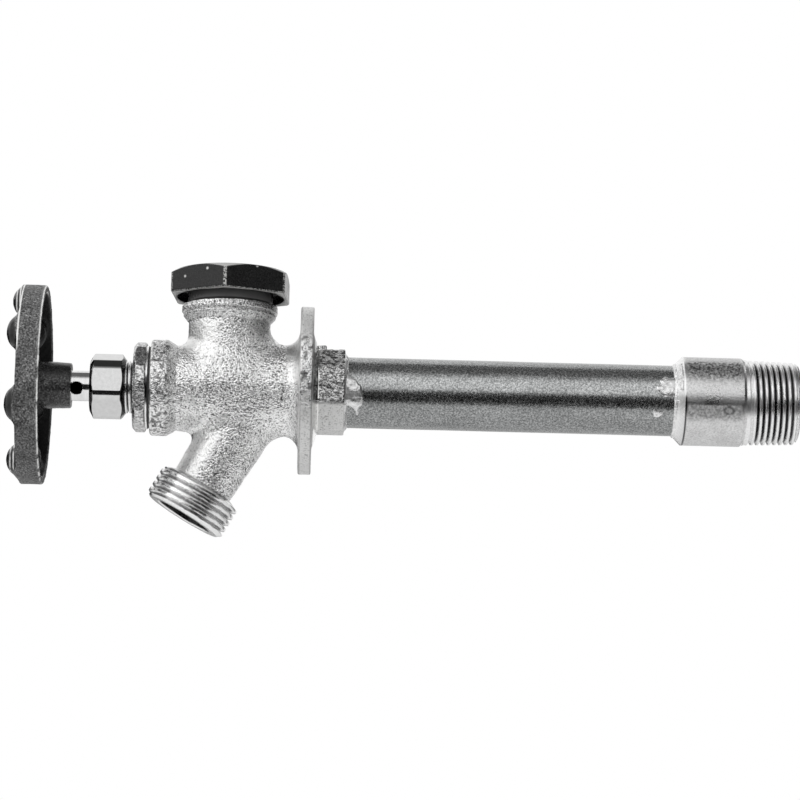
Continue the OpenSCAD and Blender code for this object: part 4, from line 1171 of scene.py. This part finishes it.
def wheel_wear(places, points):
    """Bare metal on the rim's edges and on fine ridges of the upper and lower lobes."""
    x, y, z = places.T
    r = np.hypot(y, z)
    front = worn_line(np.hypot(x + 90.6, r - 31.0), 2.2, 0.16) * ramp(z, 4, 9)
    outer_edge = worn_line(np.hypot(x + 83.85, r - 31.05), 2.2, 0.18)
    inner_edge = worn_line(np.hypot(x + 83.85, r - 28.95), 1.7, 0.18)
    rear = np.maximum(outer_edge, inner_edge) * (0.12 + 0.88 * fall(y, -4, 4))
    rear = rear * ramp(grain(points, 1.5, 24) + 0.25 * ramp(z, -4, 4), -0.6, 0.15)
    ridges = worn_line(np.abs(x + 91.8), 1.8, 0.16) + worn_line(np.abs(x + 92.9), 1.6, 0.14)
    ridges = ridges * ramp(np.abs(z), 17, 19) * ramp(grain(points, 1.6, 23), -0.5, 0.2)
    return np.stack([front, rear, 0.8 * np.clip(ridges, 0, 1)]).max(axis=0)


def handwheel():
    """The cast wheel, with a fine unevenness under its paint."""
    places, faces = surface(wheel, (-96, -32.5, -32.5), (-74.5, 32.5, 32.5), 0.4)
    normal, _ = slope_at(wheel, places)
    height = 0.05 * grain(places, 0.9, 21) + 0.05 * grain(places, 3, 22)
    points = places + normal * height[:, None]
    obj = add_piece("wheel_cast", points, faces, "spindle", "handle_paint", ("handwheel",),
        sharp=0, tidy=False)
    x, y, z = places.T
    r = np.hypot(y, z)
    # Painted shade: the outer layer is low inside the cup and on the hub's top.
    hub = fall(r, 9, 12) * ramp(x, -89.5, -86)
    outer = np.maximum(ramp(r, 30.6, 31.0), hub * (0.15 + 0.45 * fall(z, 0, 3)))
    gloss = np.maximum(fall(x, -91.0, -90.5), hub)
    set_layers(obj, wear=wheel_wear(places, points), outer=outer, gloss=gloss)


# Floor, light and camera, in metres


def stage_plane(name, centre, normal, size, material):
    """A flat stage object that faces along a direction."""
    mesh = bpy.data.meshes.new(name)
    w, h = size[0] / 2, size[1] / 2
    mesh.from_pydata([(-w, -h, 0), (w, -h, 0), (w, h, 0), (-w, h, 0)], [], [(0, 1, 2, 3)])
    mesh.materials.append(material)
    obj = new_object(name, mesh)
    obj.location = centre
    obj.rotation_euler = Vector(normal).to_track_quat("Z", "Y").to_euler()
    return obj


def flag(name, centre, size, tone):
    """A dark card that only shows as a reflection in the metal, aimed at the object."""
    material = bpy.data.materials.new(name)
    material.use_nodes = True
    tree = material.node_tree
    glow = tree.nodes.new("ShaderNodeEmission")
    glow.inputs["Color"].default_value = rgba(tone)
    tree.links.new(glow.outputs["Emission"], tree.nodes["Material Output"].inputs["Surface"])
    card = stage_plane(name, centre, -Vector(centre), size, material)
    card.visible_camera = False
    card.visible_diffuse = False
    card.visible_shadow = False


def softbox(name, centre, size, radiance):
    """A rectangular light aimed at the object, with a black back."""
    light = bpy.data.lights.new(name, "AREA")
    light.shape = "RECTANGLE"
    light.size, light.size_y = size
    light.energy = radiance * math.pi * size[0] * size[1]
    obj = new_object(name, light)
    obj.location = centre
    obj.rotation_euler = (-Vector(centre)).to_track_quat("-Z", "Y").to_euler()
    flag(name + "_back", centre * 1.02, size, tone=0.0)


def towards(elevation, azimuth, distance):
    """A place seen from the object. Azimuth 0 is in front, where the camera is, and 90 is +X."""
    e, a = math.radians(elevation), math.radians(azimuth)
    return Vector((math.cos(e) * math.sin(a), -math.cos(e) * math.cos(a), math.sin(e))) * distance


def pale_floor():
    """A wide plain floor below the object."""
    p = Paint("floor", roughness=0.9)
    p.colour(p.vary(p.noise(400, 2.0), 0.78, 0.82))
    stage_plane("floor", (0, 0, -0.34), (0, 0, 1), (8, 8), p.material)


def studio_light():
    """Two soft lights, and dark cards that give the metal its bands."""
    softbox("key", towards(31.5, 0, 1.5), size=(3.2, 1.05), radiance=1.08)
    softbox("left", towards(36, -58, 1.2), size=(1.0, 1.2), radiance=1.4)
    flag("dark_front", towards(-19, 0, 0.5), size=(1.6, 0.42), tone=0.015)
    flag("dark_right", towards(8, 62, 1.0), size=(1.2, 1.2), tone=0.04)
    flag("dark_side", towards(8, 124, 1.0), size=(1.0, 1.0), tone=0.04)
    flag("dark_behind", towards(4, -151, 0.8), size=(1.04, 0.34), tone=0.03)
    flag("grey_overhead", towards(56.5, 0, 1.4), size=(4.0, 0.3), tone=0.55)
    flag("dark_overhead", towards(86, 0, 1.4), size=(4.0, 1.25), tone=0.15)


def white_world():
    """A white background, a little weaker as the light that falls on dull surfaces."""
    world = bpy.data.worlds.new("studio")
    bpy.context.scene.world = world
    world.use_nodes = True
    tree = world.node_tree
    background = tree.nodes["Background"]
    background.inputs["Color"].default_value = (1, 1, 1, 1)
    path = tree.nodes.new("ShaderNodeLightPath")
    seen = path.outputs["Is Camera Ray"]
    for ray in ("Is Glossy Ray", "Is Transmission Ray"):
        either = tree.nodes.new("ShaderNodeMath")
        either.operation = "MAXIMUM"
        tree.links.new(seen, either.inputs[0])
        tree.links.new(path.outputs[ray], either.inputs[1])
        seen = either.outputs[0]
    level = tree.nodes.new("ShaderNodeMapRange")
    level.inputs["To Min"].default_value = 0.8
    level.inputs["To Max"].default_value = 1.0
    tree.links.new(seen, level.inputs["Value"])
    tree.links.new(level.outputs["Result"], background.inputs["Strength"])


# The camera that was fitted to the photo. Its focal length is in pixels of the photo's width.
AIM = Vector((27.5, 0, -1.9)) * MM
AZIMUTH, ELEVATION, ROLL = -1.46, -9.4, 1.24
FOCAL_PIXELS, PHOTO_PIXELS = 3471, 800
DISTANCE = 1.09
SENSOR_MM = 36


def photo_camera():
    """The camera at the photo's viewing angle."""
    camera = bpy.data.cameras.new("camera")
    camera.sensor_width = SENSOR_MM
    camera.lens = FOCAL_PIXELS * SENSOR_MM / PHOTO_PIXELS
    camera.clip_end = 50
    obj = new_object("camera", camera)
    back = towards(ELEVATION, AZIMUTH, 1)
    turn = (-back).to_track_quat("-Z", "Y") @ Quaternion((0, 0, 1), math.radians(ROLL))
    obj.location = AIM + back * DISTANCE
    obj.rotation_euler = turn.to_euler()
    bpy.context.scene.camera = obj
    bpy.context.scene.view_settings.view_transform = "Standard"


# The whole scene

body_casting()
hose_thread()
bonnet_hexagon()
packing_nut()
bonnet_neck()
bonnet_face()
stem()
handle_screw()
black_cap()
barrel_tube()
solder("solder_front", 9.8, 17.5, front_solder, "front_solder_ring")
solder("solder_rear", 104.5, 115.7, rear_solder, "rear_solder_ring")
inlet()
handwheel()
pale_floor()
studio_light()
white_world()
photo_camera()
